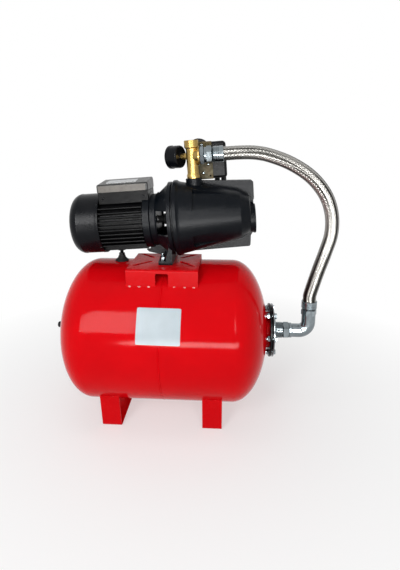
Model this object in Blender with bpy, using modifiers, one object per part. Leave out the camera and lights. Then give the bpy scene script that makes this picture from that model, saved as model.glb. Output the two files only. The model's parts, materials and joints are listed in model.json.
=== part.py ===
"""Booster pump set: a self-priming pump on a horizontal membrane tank.

The tank axis lies along X with its flange toward +X, the pump stands on a console on
top, and the fittings above the pump feed a braided hose that returns to the tank flange.
"""
import math

import bmesh
import bpy
from mathutils import Matrix, Vector

MM = 0.001

HEXAGON = 6

# Clearances
GAP = 0.3 * MM

# Tank
TANK_RADIUS = 185 * MM
TANK_HALF = 270 * MM
TANK_DOME = 92.5 * MM
TANK_WALL = 2.0 * MM
TANK_CLEAR = 43.4 * MM
TANK_AXIS_Z = TANK_CLEAR + TANK_RADIUS
TANK_CREST_Z = TANK_AXIS_Z + TANK_RADIUS
SEAM_WIDTH = 5 * MM
SEAM_PROUD = 0.8 * MM
NECK_RADIUS = 47 * MM
NECK_WALL = 3 * MM
NECK_PROUD = 9 * MM
NECK_END = TANK_HALF + NECK_PROUD
FLANGE_RADIUS = 70 * MM
FLANGE_THICK = 5 * MM
FLANGE_BOLTS = 6
BOLT_CIRCLE = 57.5 * MM
BOLT_RADIUS = 4 * MM
BOLT_HEX = 7.5 * MM
BOLT_HEAD = 5.3 * MM
BOLT_NUT = 5.0 * MM
BLADDER_WALL = 2.4 * MM
BLADDER_ROOM = 35 * MM
BLADDER_RADIUS = TANK_RADIUS - BLADDER_ROOM
BLADDER_END_ROOM = 45 * MM
BLADDER_HALF = TANK_HALF - BLADDER_END_ROOM
BLADDER_DOME = 70 * MM
BLADDER_LIP = 52 * MM
COUNTER_THICK = 3 * MM
COUNTER_DISH = 6 * MM
STUB_RADIUS = 21 * MM
STUB_LENGTH = 20 * MM
WATER_BORE = 14 * MM
STUB_END = NECK_END + BLADDER_WALL + 2 * GAP + COUNTER_THICK + COUNTER_DISH + STUB_LENGTH

# Air valve in the left tank end
VALVE_RADIUS = 5 * MM
VALVE_LENGTH = 20 * MM
VALVE_FLANGE = 11 * MM
CAP_RADIUS = 8 * MM
CAP_LENGTH = 17 * MM
CAP_STANDOFF = 12 * MM

# Feet under the tank
FOOT_INSET = 48.5 * MM
FOOT_SPREAD = TANK_HALF - TANK_DOME - FOOT_INSET
FOOT_WIDTH = 49.5 * MM
FOOT_THICK = 3 * MM
FOOT_HALF_LOW = 117 * MM
FOOT_HALF_HIGH = 128 * MM
FOOT_BEND = 12 * MM
FOOT_RUN = 90 * MM
FOOT_WELD = 6 * MM

# Console on top of the tank
CONSOLE_CENTRE = 6.5 * MM
CONSOLE_LENGTH = 174 * MM
CONSOLE_FRONT = 107 * MM
CONSOLE_REAR = 60 * MM
CONSOLE_RISE = 6.1 * MM
CONSOLE_TOP_Z = TANK_CREST_Z + CONSOLE_RISE
CONSOLE_THICK = 3 * MM
CONSOLE_BEND = 5 * MM
NOTCH_WIDTH = 31 * MM
NOTCH_DROP = 9 * MM
NOTCH_TOP_Z = CONSOLE_TOP_Z - NOTCH_DROP
SLOT_OUTER = 73 * MM
SLOT_INNER = 39 * MM
SLOT_FAR_Y = 66 * MM
SLOT_NEAR_Y = 28 * MM
SLOT_REAR_Y = 49 * MM
SLOT_WIDTH = 10 * MM

# Pump placing: the shaft axis rises by this angle toward the suction side
PUMP_TILT = math.radians(4)
PUMP_X = 36.6 * MM
PUMP_RISE = 108.5 * MM
PUMP_Z = CONSOLE_TOP_Z + PUMP_RISE

# Pump casing, along the shaft axis from the flange joint
CASING_RADIUS = 94 * MM
CASING_LENGTH = 158 * MM
CASING_END_RADIUS = 60 * MM
CASING_NOSE = 182 * MM
CASING_NOSE_RADIUS = 45 * MM
CASING_WALL = 6 * MM
CASING_FLANGE = 4 * MM
CASING_RIM_RADIUS = 96 * MM
PORT_RADIUS = 37 * MM
PORT_END = 195 * MM
PORT_DROP = 12 * MM
PORT_BORE = 16.5 * MM
OUTLET_U = 47 * MM
OUTLET_RADIUS = 20 * MM
OUTLET_TOP = 97.5 * MM
SPINE_NEAR = 18 * MM
SPINE_FAR = 38 * MM
PANEL_DEPTH = 4.5 * MM
PLUG_RADIUS = 11 * MM
PLUG_HEX = 10.5 * MM
PLUG_HEAD = 9 * MM
PLUG_THREAD = 9.5 * MM
PLUG_U = 150 * MM
PRIMING_V = 58 * MM
DRAIN_V = -68 * MM

# Motor bracket between casing and motor
BRACKET_RIM = -9 * MM
BRACKET_RIM_THICK = 8 * MM
BRACKET_RADIUS = 93 * MM
BRACKET_BACK = -62 * MM
BRACKET_BACK_RADIUS = 66 * MM
BRACKET_WALL = 7 * MM
WINDOW_HALF = 30 * MM
PUMP_FOOT_Y = 44 * MM
PUMP_FOOT_WIDTH = 36 * MM
PUMP_BOLT_X = 1 * MM
PUMP_BOLT_RADIUS = 4 * MM
PUMP_FOOT_PAD = 9 * MM
SEAL_PLATE_RADIUS = 88 * MM

# Motor, along the shaft axis
MOTOR_FRONT = -80 * MM
MOTOR_REAR = -203 * MM
MOTOR_TUBE = 63 * MM
MOTOR_BORE = 56 * MM
FIN_RADIUS = 73 * MM
FIN_PITCH = 10.5 * MM
FIN_THICK = 2.6 * MM
SHIELD_RADIUS = 70 * MM
COVER_RADIUS = 77 * MM
COVER_END = -284.5 * MM
COVER_OPEN = -198 * MM
COVER_WALL = 1.6 * MM
COVER_ROUND = 42 * MM
SHAFT_RADIUS = 7.5 * MM
BEARING_RADIUS = 20 * MM
BEARING_WIDTH = 12 * MM
BEARING_FRONT = -66 * MM
BEARING_REAR = -199 * MM
ROTOR_RADIUS = 32 * MM
ROTOR_FRONT = -98 * MM
ROTOR_REAR = -182 * MM
STATOR_BORE = 33 * MM
FAN_RADIUS = 66 * MM
FAN_U = -240 * MM
FAN_BLADES = 7
IMPELLER_RADIUS = 62 * MM
IMPELLER_U = 22 * MM
IMPELLER_BLADES = 6

# Terminal box on the motor
BOX_REAR = -188 * MM
BOX_FRONT = -64 * MM
BOX_HALF = 44 * MM
BOX_LOW = 51 * MM
BOX_SPLIT = 79 * MM
LID_FRONT_HIGH = 98 * MM
LID_REAR_HIGH = 107 * MM
LID_OVERHANG = 1.5 * MM
BOX_WALL = 3 * MM

# Motor foot screw on the tank crest
REST_X = -113 * MM
REST_RADIUS = 17.5 * MM
REST_HEIGHT = 15 * MM
REST_STEM = 4.5 * MM

# Five way fitting, gauge, switch
FIVE_RADIUS = 14.5 * MM
FIVE_COLLAR = 17.8 * MM
FIVE_COLLAR_LOW = 172 * MM
FIVE_TOP = 190 * MM
FIVE_BORE = 11.5 * MM
FIVE_PORT_V = 152 * MM
FIVE_PORT_END = 66 * MM
FIVE_PORT_RADIUS = 20.5 * MM
SMALL_PORT_RADIUS = 8.5 * MM
SMALL_PORT_REACH = 19 * MM
GAUGE_TURN = math.radians(25)
GAUGE_START = 31 * MM
GAUGE_DEPTH = 32 * MM
GAUGE_RADIUS = 29 * MM
GAUGE_WALL = 1.5 * MM
SWITCH_PLATE_Y = 42 * MM
SWITCH_PLATE_THICK = 3 * MM
SWITCH_REAR_U = 44 * MM
SWITCH_PLATE_FRONT_U = 95 * MM
SWITCH_FRONT_U = 131 * MM
SWITCH_LOW = 90 * MM
SWITCH_HIGH = 194 * MM
SWITCH_DEPTH = 50 * MM
SWITCH_WALL = 2.5 * MM

# Hose and its end fittings
HOSE_RADIUS = 17 * MM
HOSE_START = 125 * MM
FERRULE_RADIUS = 20 * MM
FERRULE_LENGTH = 22 * MM
HOSE_NUT_RADIUS = 22 * MM
ELBOW_NUT_LENGTH = 16 * MM
ELBOW_REACH = 50.7 * MM
ELBOW_X = STUB_END + GAP + ELBOW_NUT_LENGTH + ELBOW_REACH
ELBOW_RADIUS = 20 * MM
ELBOW_LIFT = 83.6 * MM
HOSE_END_Z = TANK_AXIS_Z + ELBOW_LIFT

# The set is centred over its own box without the hose
LEFT_END = -(TANK_HALF + CAP_STANDOFF + CAP_LENGTH)
RIGHT_END = ELBOW_X + ELBOW_RADIUS
TANK_X = -(LEFT_END + RIGHT_END) / 2


def reset_scene():
    for item in list(bpy.data.objects):
        bpy.data.objects.remove(item, do_unlink=True)


reset_scene()
PARTS = bpy.data.collections.new("BoosterPumpSet")
TOOLS = bpy.data.collections.new("Cutters")
bpy.context.scene.collection.children.link(PARTS)
bpy.context.scene.collection.children.link(TOOLS)


def make_material(name, color, roughness, metallic):
    item = bpy.data.materials.new(name)
    item.use_nodes = True
    shader = item.node_tree.nodes["Principled BSDF"]
    shader.inputs["Base Color"].default_value = (*color, 1)
    shader.inputs["Roughness"].default_value = roughness
    shader.inputs["Metallic"].default_value = metallic
    return item


RED = make_material("red enamel", (0.62, 0.004, 0.008), 0.22, 0.0)
BLACK_CAST = make_material("black cast iron", (0.012, 0.013, 0.016), 0.45, 0.0)
BLACK_ALLOY = make_material("black alloy", (0.016, 0.016, 0.018), 0.4, 0.2)
BLACK_SHEET = make_material("black sheet", (0.01, 0.01, 0.014), 0.3, 0.0)
BLACK_PLASTIC = make_material("black plastic", (0.018, 0.018, 0.018), 0.4, 0.0)
GREY_LID = make_material("grey plastic", (0.10, 0.09, 0.08), 0.4, 0.0)
RUBBER = make_material("rubber", (0.015, 0.015, 0.015), 0.7, 0.0)
ZINC = make_material("zinc steel", (0.55, 0.60, 0.63), 0.32, 0.9)
GOLD_ZINC = make_material("yellow zinc", (0.55, 0.43, 0.18), 0.35, 0.9)
BRASS = make_material("brass", (0.72, 0.48, 0.16), 0.28, 1.0)
STEEL = make_material("steel", (0.5, 0.5, 0.5), 0.35, 1.0)
BRAID = make_material("steel braid", (0.55, 0.54, 0.52), 0.35, 0.9)
WHITE = make_material("white enamel", (0.85, 0.85, 0.83), 0.4, 0.0)
CLEAR = make_material("clear window", (0.8, 0.85, 0.85), 0.05, 0.0)
IRON = make_material("laminated iron", (0.2, 0.2, 0.21), 0.5, 0.8)

# Frames: Z of a turned or extruded shape points along the named direction
TANK = Matrix.Translation((TANK_X, 0, TANK_AXIS_Z))
PUMP = Matrix.Translation((TANK_X + PUMP_X, 0, PUMP_Z)) @ Matrix.Rotation(-PUMP_TILT, 4, "Y")
ALONG_X = Matrix.Rotation(math.pi / 2, 4, "Y")
ALONG_Y = Matrix.Rotation(-math.pi / 2, 4, "X")
AGAINST_Y = Matrix.Rotation(math.pi / 2, 4, "X")
HERE = [Matrix.Identity(4)]


def at(x, y, z):
    return Matrix.Translation((x, y, z))


def spun(degrees):
    """A turn about Z that keeps the facets of crossing round pieces from lining up."""
    return Matrix.Rotation(math.radians(degrees), 4, "Z")


def tank_height(y, radius=TANK_RADIUS):
    return math.sqrt(radius ** 2 - y ** 2)


def add_object(name, data, matrix, material=None, tool=False):
    item = bpy.data.objects.new(name, data)
    (TOOLS if tool else PARTS).objects.link(item)
    item.matrix_world = matrix
    if material:
        data.materials.append(material)
    if tool:
        item.hide_render = True
        item.display_type = "WIRE"
    return item


def boolean(item, tool, operation="DIFFERENCE"):
    step = item.modifiers.new(operation.title(), "BOOLEAN")
    step.operation = operation
    step.object = tool
    return step


def bevel(item, width, segments=2):
    step = item.modifiers.new("Edge rounding", "BEVEL")
    step.width = width
    step.segments = segments
    step.limit_method = "ANGLE"
    step.angle_limit = math.radians(40)
    return step


def facets(radius):
    """Sides that keep a round piece of this radius smooth enough."""
    for limit, count in ((80, 32), (40, 22), (25, 16), (9, 12)):
        if radius > limit * MM:
            return count
    return 8


def clear(radius, outer=0):
    """Radius of a faceted bore that a round piece of this radius turns in freely."""
    return (radius + GAP) / math.cos(math.pi / facets(outer or radius))


def turned(name, profile, matrix, material=None, sides=0, loop=False, tool=False):
    """Screw a profile of (radius, height) points, listed down the outer side."""
    sides = sides or facets(max(radius for radius, height in profile))
    data = bpy.data.meshes.new(name)
    points = [(radius, 0, height) for radius, height in profile]
    edges = [(i, i + 1) for i in range(len(points) - 1)]
    if loop:
        edges.append((len(points) - 1, 0))
    data.from_pydata(points, edges, [])
    item = add_object(name, data, matrix, material, tool)
    step = item.modifiers.new("Turn", "SCREW")
    step.steps = sides
    step.render_steps = sides
    step.use_merge_vertices = True
    step.merge_threshold = 0.00001
    step.use_smooth_shade = True
    return item


def ring(inner, outer, low, high):
    return [(inner, high), (outer, high), (outer, low), (inner, low)]


def rod(radius, low, high):
    return [(0, high), (radius, high), (radius, low), (0, low)]


def solid_mesh(name, matrix, material, tool, build):
    data = bpy.data.meshes.new(name)
    work = bmesh.new()
    build(work)
    bmesh.ops.recalc_face_normals(work, faces=work.faces)
    work.to_mesh(data)
    work.free()
    return add_object(name, data, matrix, material, tool)


def add_box(work, low, high):
    low, high = Vector(low), Vector(high)
    size = high - low
    place = Matrix.Translation((low + high) / 2) @ Matrix.Diagonal((*size, 1))
    bmesh.ops.create_cube(work, size=1, matrix=place)


def box(name, low, high, matrix, material=None, tool=False):
    return solid_mesh(name, matrix, material, tool, lambda work: add_box(work, low, high))


def boxes(name, spans, matrix, material=None, tool=True):
    def build(work):
        for low, high in spans:
            add_box(work, low, high)
    return solid_mesh(name, matrix, material, tool, build)


def add_pin(work, radius, low, high, place, sides):
    matrix = place @ Matrix.Translation((0, 0, (low + high) / 2))
    bmesh.ops.create_cone(work, cap_ends=True, segments=sides, radius1=radius, radius2=radius,
                          depth=high - low, matrix=matrix)


def pins(name, places, radius, low, high, matrix, material=None, tool=True, sides=0):
    """Cylinders or hexagons of one size along Z of each place."""
    sides = sides or facets(radius)
    def build(work):
        for place in places:
            add_pin(work, radius, low, high, place, sides)
    return solid_mesh(name, matrix, material, tool, build)


def plate(name, outline, thickness, matrix, material=None, tool=False):
    """Extrude a closed outline of (x, y) points by a thickness up from Z = 0."""
    def build(work):
        corners = [work.verts.new((x, y, 0)) for x, y in outline]
        face = work.faces.new(corners)
        grown = bmesh.ops.extrude_face_region(work, geom=[face])["geom"]
        moved = [part for part in grown if isinstance(part, bmesh.types.BMVert)]
        bmesh.ops.translate(work, verts=moved, vec=(0, 0, thickness))
    return solid_mesh(name, matrix, material, tool, build)


def arc(centre, radius, start, end, count):
    """Points on an arc between two angles in degrees."""
    angles = [math.radians(start + (end - start) * i / count) for i in range(count + 1)]
    return [(centre[0] + radius * math.cos(a), centre[1] + radius * math.sin(a)) for a in angles]


def strip(name, path, low, high, thickness, material):
    """A sheet strip: the (y, z) path of its outer face, swept along X and thickened inward."""
    data = bpy.data.meshes.new(name)
    work = bmesh.new()
    rows = [[work.verts.new((x, y, z)) for y, z in path] for x in (low, high)]
    for i in range(len(path) - 1):
        work.faces.new((rows[0][i], rows[0][i + 1], rows[1][i + 1], rows[1][i]))
    work.to_mesh(data)
    work.free()
    item = add_object(name, data, Matrix.Identity(4), material)
    step = item.modifiers.new("Sheet", "SOLIDIFY")
    step.thickness = thickness
    step.offset = -1
    step.use_even_offset = True
    return item


def group(item, spans):
    """Join further closed shapes into an object as one body."""
    for tool in spans:
        boolean(item, tool, "UNION")
    return item


def circle_places(radius, count, start=0.0):
    turn = 2 * math.pi / count
    return [Matrix.Rotation(start + turn * i, 4, "Z") @ at(radius, 0, 0) for i in range(count)]


def dome_points(radius, depth, start, count, neck=0.0):
    """Half ellipse from the cylinder end toward the axis, stopped at a neck radius."""
    last = math.acos(neck / radius)
    angles = [last * i / count for i in range(count + 1)]
    return [(radius * math.cos(a), start + depth * math.sin(a)) for a in angles]


def mirrored(points):
    return [(radius, -height) for radius, height in points]


def build_tank_shell():
    straight = TANK_HALF - TANK_DOME
    inner_radius = TANK_RADIUS - TANK_WALL
    inner_depth = TANK_DOME - TANK_WALL
    hole = VALVE_RADIUS + GAP
    outer_right = dome_points(TANK_RADIUS, TANK_DOME, straight, 5, NECK_RADIUS)
    outer_left = mirrored(dome_points(TANK_RADIUS, TANK_DOME, straight, 5, hole))
    inner_right = dome_points(inner_radius, inner_depth, straight, 3, NECK_RADIUS - NECK_WALL)
    inner_left = mirrored(dome_points(inner_radius, inner_depth, straight, 3, hole))
    half = SEAM_WIDTH / 2
    seam = [(TANK_RADIUS, half), (TANK_RADIUS + SEAM_PROUD, half / 2),
            (TANK_RADIUS + SEAM_PROUD, -half / 2), (TANK_RADIUS, -half)]
    profile = [(NECK_RADIUS - NECK_WALL, NECK_END), (NECK_RADIUS, NECK_END)]
    profile += outer_right[::-1] + seam + outer_left + inner_left[::-1] + inner_right
    return turned("tank_shell", profile, TANK @ ALONG_X, RED, loop=True)


def build_bolt(name, place, radius, hexagon, head, nut):
    """A hexagon bolt with its nut run on, along Z of its place; each end is (low, high)."""
    bolt = pins(name, HERE, hexagon, head[0], head[1], place, ZINC, tool=False, sides=HEXAGON)
    turned_nut = pins(name + " nut", HERE, hexagon, nut[0], nut[1], place, sides=HEXAGON)
    low = min(head[0] + MM, nut[0] - MM)
    high = max(head[1] - MM, nut[1] + MM)
    shank = pins(name + " shank", HERE, radius, low, high, place)
    return group(bolt, (turned_nut, shank))


def build_flange_set():
    frame = TANK @ ALONG_X
    places = circle_places(BOLT_CIRCLE, FLANGE_BOLTS, math.pi / 2)
    ring_low = NECK_END - FLANGE_THICK
    lip_low = NECK_END + GAP
    lip_high = lip_low + BLADDER_WALL
    plate_low = lip_high + GAP
    plate_high = plate_low + COUNTER_THICK
    holes = pins("flange bolt holes", places, BOLT_RADIUS + GAP, ring_low - MM,
                 plate_high + MM, frame)
    neck_ring = ring(clear(NECK_RADIUS, FLANGE_RADIUS), FLANGE_RADIUS, ring_low, NECK_END)
    flange = turned("neck_flange", neck_ring, frame, BLACK_SHEET, loop=True)
    boolean(flange, holes)

    bag = dome_points(BLADDER_RADIUS, BLADDER_DOME, BLADDER_HALF - BLADDER_DOME - 10 * MM, 3,
                      NECK_RADIUS - 6 * MM)
    bag_end = mirrored(dome_points(BLADDER_RADIUS, BLADDER_DOME, BLADDER_HALF - BLADDER_DOME, 3))
    throat = NECK_RADIUS - NECK_WALL - GAP
    outer = [(throat, lip_low), (throat, bag[-1][1] + 6 * MM)] + bag[::-1] + bag_end
    wall = BLADDER_WALL
    inner = [(max(r - wall, 0), z + (wall if i == len(outer) - 1 else 0))
             for i, (r, z) in enumerate(outer)]
    inner[0] = (throat - wall, lip_high)
    profile = inner[::-1] + [(BLADDER_LIP, lip_high), (BLADDER_LIP, lip_low)] + outer
    turned("bladder", profile, frame, RUBBER)

    top = plate_high + COUNTER_DISH
    dish = [(WATER_BORE, top + STUB_LENGTH), (STUB_RADIUS, top + STUB_LENGTH), (STUB_RADIUS, top),
            (38 * MM, top), (46 * MM, plate_high), (FLANGE_RADIUS, plate_high),
            (FLANGE_RADIUS, plate_low), (45 * MM, plate_low), (37 * MM, plate_low + COUNTER_DISH),
            (WATER_BORE, plate_low + COUNTER_DISH)]
    counter = turned("counter_flange", dish, frame, ZINC, loop=True)
    boolean(counter, holes)

    nut_low = ring_low - GAP - BOLT_NUT
    head_low = plate_high + GAP
    for number, place in enumerate(places, 1):
        build_bolt(f"flange_bolt_{number}", frame @ place, BOLT_RADIUS, BOLT_HEX,
                   (head_low, head_low + BOLT_HEAD), (nut_low, ring_low - GAP))


def build_air_valve():
    frame = TANK @ at(-TANK_HALF, 0, 0) @ ALONG_X.inverted()
    stem = [(0, VALVE_LENGTH), (VALVE_RADIUS - MM, VALVE_LENGTH), (VALVE_RADIUS - MM, 8 * MM),
            (VALVE_RADIUS, 7 * MM), (VALVE_RADIUS, -TANK_WALL - GAP),
            (VALVE_FLANGE, -TANK_WALL - 3 * GAP), (VALVE_FLANGE, -6 * MM), (0, -6 * MM)]
    turned("air_valve_stem", stem, frame, BRASS)
    top = CAP_STANDOFF + CAP_LENGTH
    hollow = clear(VALVE_RADIUS - MM, CAP_RADIUS)
    cap = [(0, top), (CAP_RADIUS - 2 * MM, top), (CAP_RADIUS, top - 2 * MM),
           (CAP_RADIUS, CAP_STANDOFF), (hollow, CAP_STANDOFF), (hollow, VALVE_LENGTH + GAP),
           (0, VALVE_LENGTH + GAP)]
    turned("air_valve_cap", cap, frame, BLACK_PLASTIC)


def foot_path():
    """Outer face of the foot strip, front top to rear top, as (y, z)."""
    lean = math.degrees(math.atan2(FOOT_HALF_HIGH - FOOT_HALF_LOW, FOOT_RUN))
    centre = (-(FOOT_HALF_LOW - FOOT_BEND), FOOT_BEND)
    corner = arc(centre, FOOT_BEND, 180 - lean, 270, 5)
    front = [(-FOOT_HALF_HIGH - MM, TANK_AXIS_Z - tank_height(FOOT_HALF_HIGH) + FOOT_WELD)] + corner
    rear = [(-y, z) for y, z in front[::-1]]
    return front + rear


def build_feet(tank_cutter):
    for name, side in (("foot_left", -1), ("foot_right", 1)):
        centre = TANK_X + side * FOOT_SPREAD
        foot = strip(name, foot_path(), centre - FOOT_WIDTH / 2, centre + FOOT_WIDTH / 2,
                     FOOT_THICK, RED)
        boolean(foot, tank_cutter)


def slot_outline(start, end, width):
    """Round ended slot between two centres in the XY plane."""
    run = math.degrees(math.atan2(end[1] - start[1], end[0] - start[0]))
    return (arc(end, width / 2, run - 90, run + 90, 6)
            + arc(start, width / 2, run + 90, run + 270, 6))


def build_console(tank_cutter):
    middle = TANK_X + CONSOLE_CENTRE
    bend = CONSOLE_BEND
    front = arc((-CONSOLE_FRONT + bend, CONSOLE_TOP_Z - bend), bend, 180, 90, 4)
    rear = arc((CONSOLE_REAR - bend, CONSOLE_TOP_Z - bend), bend, 90, 0, 4)
    front_low = TANK_AXIS_Z + tank_height(CONSOLE_FRONT) - 3 * MM
    rear_low = TANK_AXIS_Z + tank_height(CONSOLE_REAR) - 3 * MM
    path = [(CONSOLE_REAR, rear_low)] + rear[::-1] + front[::-1] + [(-CONSOLE_FRONT, front_low)]
    console = strip("console", path, middle - CONSOLE_LENGTH / 2, middle + CONSOLE_LENGTH / 2,
                    CONSOLE_THICK, RED)
    boolean(console, tank_cutter)
    half = NOTCH_WIDTH / 2
    low_z = front_low - 5 * MM
    soft = 4 * MM
    outline = ([(half, low_z)] + arc((half - soft, NOTCH_TOP_Z - soft), soft, 0, 90, 3)
               + arc((-half + soft, NOTCH_TOP_Z - soft), soft, 90, 180, 3) + [(-half, low_z)])
    notch_place = at(middle, -CONSOLE_FRONT + 2 * CONSOLE_THICK, 0) @ AGAINST_Y
    boolean(console, plate("console notch", outline, 4 * CONSOLE_THICK, notch_place, tool=True))
    slot_low = CONSOLE_TOP_Z - 2 * CONSOLE_THICK
    for side in (-1, 1):
        for outer_y, inner_y in ((-SLOT_FAR_Y, -SLOT_NEAR_Y), (SLOT_REAR_Y, SLOT_NEAR_Y / 2)):
            shape = slot_outline((side * SLOT_OUTER, outer_y), (side * SLOT_INNER, inner_y),
                                 SLOT_WIDTH)
            tool = plate("console slot", shape, 3 * CONSOLE_THICK, at(middle, 0, slot_low),
                         tool=True)
            boolean(console, tool)
    places = [at(TANK_X + PUMP_BOLT_X, side * PUMP_FOOT_Y, 0) for side in (-1, 1)]
    holes = pins("console bolt holes", places, PUMP_BOLT_RADIUS + GAP, slot_low,
                 slot_low + 3 * CONSOLE_THICK, Matrix.Identity(4))
    boolean(console, holes)
    return places


def build_pump_fasteners(places):
    """Bolts come up through the console and take a nut above the pump foot."""
    under = CONSOLE_TOP_Z - CONSOLE_THICK - GAP
    pad_top = CONSOLE_TOP_Z + GAP + PUMP_FOOT_PAD
    head = (under - 4.5 * MM, under)
    nut = (pad_top + 2.3 * MM, pad_top + 8.5 * MM)
    for name, place in zip(("pump_foot_bolt_front", "pump_foot_bolt_rear"), places):
        bolt = build_bolt(name, place, PUMP_BOLT_RADIUS, 7.2 * MM, head, nut)
        washer = pins(name + " washer", HERE, 9 * MM, pad_top + GAP, pad_top + 2.5 * MM, place)
        end = pins(name + " end", HERE, PUMP_BOLT_RADIUS, pad_top + 8 * MM, pad_top + 17 * MM, place)
        group(bolt, (washer, end))


def casing_radius(u):
    """Outer radius of the conical casing at a distance from the flange joint."""
    share = u / CASING_LENGTH
    return CASING_RADIUS + (CASING_END_RADIUS - CASING_RADIUS) * share


def panel_tool(name, start, end, low_angle, high_angle):
    """A shallow recess in the cone that fades out toward the suction end."""
    outer = CASING_RADIUS + 12 * MM
    band = [(casing_radius(end) - GAP, end), (outer, end), (outer, start),
            (casing_radius(start) - PANEL_DEPTH, start)]
    item = turned(name, band, PUMP @ ALONG_X @ spun(5), loop=True, tool=True)
    reach = 130 * MM
    fan = [(0, 0)] + arc((0, 0), reach, low_angle, high_angle, 4)
    wedge_place = PUMP @ at(start - 5 * MM, 0, 0) @ Matrix.Rotation(math.pi / 2, 4, "Y")
    wedge = plate(name + " wedge", fan, end - start + 10 * MM, wedge_place, tool=True)
    boolean(item, wedge, "INTERSECT")
    return item


def build_casing():
    frame = PUMP @ ALONG_X
    flange = CASING_FLANGE
    cone = [(0, CASING_NOSE), (CASING_NOSE_RADIUS, CASING_NOSE), (CASING_END_RADIUS, CASING_LENGTH),
            (CASING_RADIUS, flange + 2 * MM), (CASING_RIM_RADIUS, flange),
            (CASING_RIM_RADIUS, -flange), (0, -flange)]
    casing = turned("pump_casing", cone, frame, BLACK_CAST)
    port = turned("casing port", rod(PORT_RADIUS, CASING_LENGTH, PORT_END),
                  PUMP @ at(0, 0, -PORT_DROP) @ ALONG_X @ spun(5), tool=True)
    outlet = turned("casing outlet", rod(OUTLET_RADIUS, 60 * MM, OUTLET_TOP),
                    PUMP @ at(OUTLET_U, 0, 0) @ spun(7), tool=True)
    outline = [(38 * MM, -92 * MM), (178 * MM, -88 * MM), (181 * MM, -84 * MM),
               (183 * MM, -60 * MM), (193 * MM, -44 * MM), (193 * MM, 31 * MM),
               (195 * MM, 36 * MM), (195 * MM, 77 * MM), (190 * MM, 82 * MM),
               (96 * MM, 87 * MM), (38 * MM, 91 * MM)]
    spine = plate("casing spine", outline, SPINE_FAR - SPINE_NEAR,
                  PUMP @ at(0, SPINE_FAR, 0) @ AGAINST_Y, tool=True)
    group(casing, (port, outlet, spine))
    for v in (PRIMING_V, DRAIN_V):
        boss = turned("plug boss", rod(PLUG_RADIUS + 4 * MM, 0, SPINE_FAR + 4 * MM),
                      PUMP @ at(PLUG_U, 0, v) @ ALONG_Y @ spun(4), tool=True)
        cut_low = turned("boss side", rod(PLUG_RADIUS + 8 * MM, -60 * MM, SPINE_NEAR + 2 * MM),
                         PUMP @ at(PLUG_U, 0, v) @ ALONG_Y, tool=True)
        boolean(boss, cut_low)
        boolean(casing, boss, "UNION")
    wall = CASING_WALL
    cavity = [(0, CASING_LENGTH + 6 * MM), (CASING_END_RADIUS - 2 * wall, CASING_LENGTH + 6 * MM),
              (CASING_END_RADIUS - wall, CASING_LENGTH - wall),
              (CASING_RADIUS - wall - 4 * MM, 2 * MM), (CASING_RADIUS - wall - 4 * MM, -flange - MM),
              (0, -flange - MM)]
    boolean(casing, turned("casing cavity", cavity, frame @ spun(3), tool=True))
    boolean(casing, turned("suction bore", rod(PORT_BORE, CASING_LENGTH, PORT_END + MM),
                           PUMP @ at(0, 0, -PORT_DROP) @ ALONG_X @ spun(9), tool=True))
    boolean(casing, turned("outlet bore", rod(FIVE_RADIUS - 2 * MM, 70 * MM, OUTLET_TOP + MM),
                           PUMP @ at(OUTLET_U, 0, 0) @ spun(10), tool=True))
    boolean(casing, panel_tool("upper panel", 44 * MM, 124 * MM, 210, 250))
    boolean(casing, panel_tool("lower panel", 41 * MM, 112 * MM, 294, 322))
    for v in (PRIMING_V, DRAIN_V):
        bore = turned("plug bore", rod(clear(PLUG_THREAD), SPINE_NEAR + 6 * MM, SPINE_FAR + 6 * MM),
                      PUMP @ at(PLUG_U, 0, v) @ ALONG_Y, tool=True)
        boolean(casing, bore)


def build_plugs():
    for name, v in (("priming_plug", PRIMING_V), ("drain_plug", DRAIN_V)):
        frame = PUMP @ at(PLUG_U, SPINE_FAR + 4 * MM + GAP, v) @ ALONG_Y
        head = turned(name, rod(PLUG_RADIUS, 0, 3 * MM), frame, BRASS)
        hexagon = pins(name + " hexagon", HERE, PLUG_HEX, 2 * MM, PLUG_HEAD,
                       frame, sides=HEXAGON)
        thread = pins(name + " thread", HERE, PLUG_THREAD, -12 * MM, MM, frame)
        group(head, (hexagon, thread))


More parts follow.
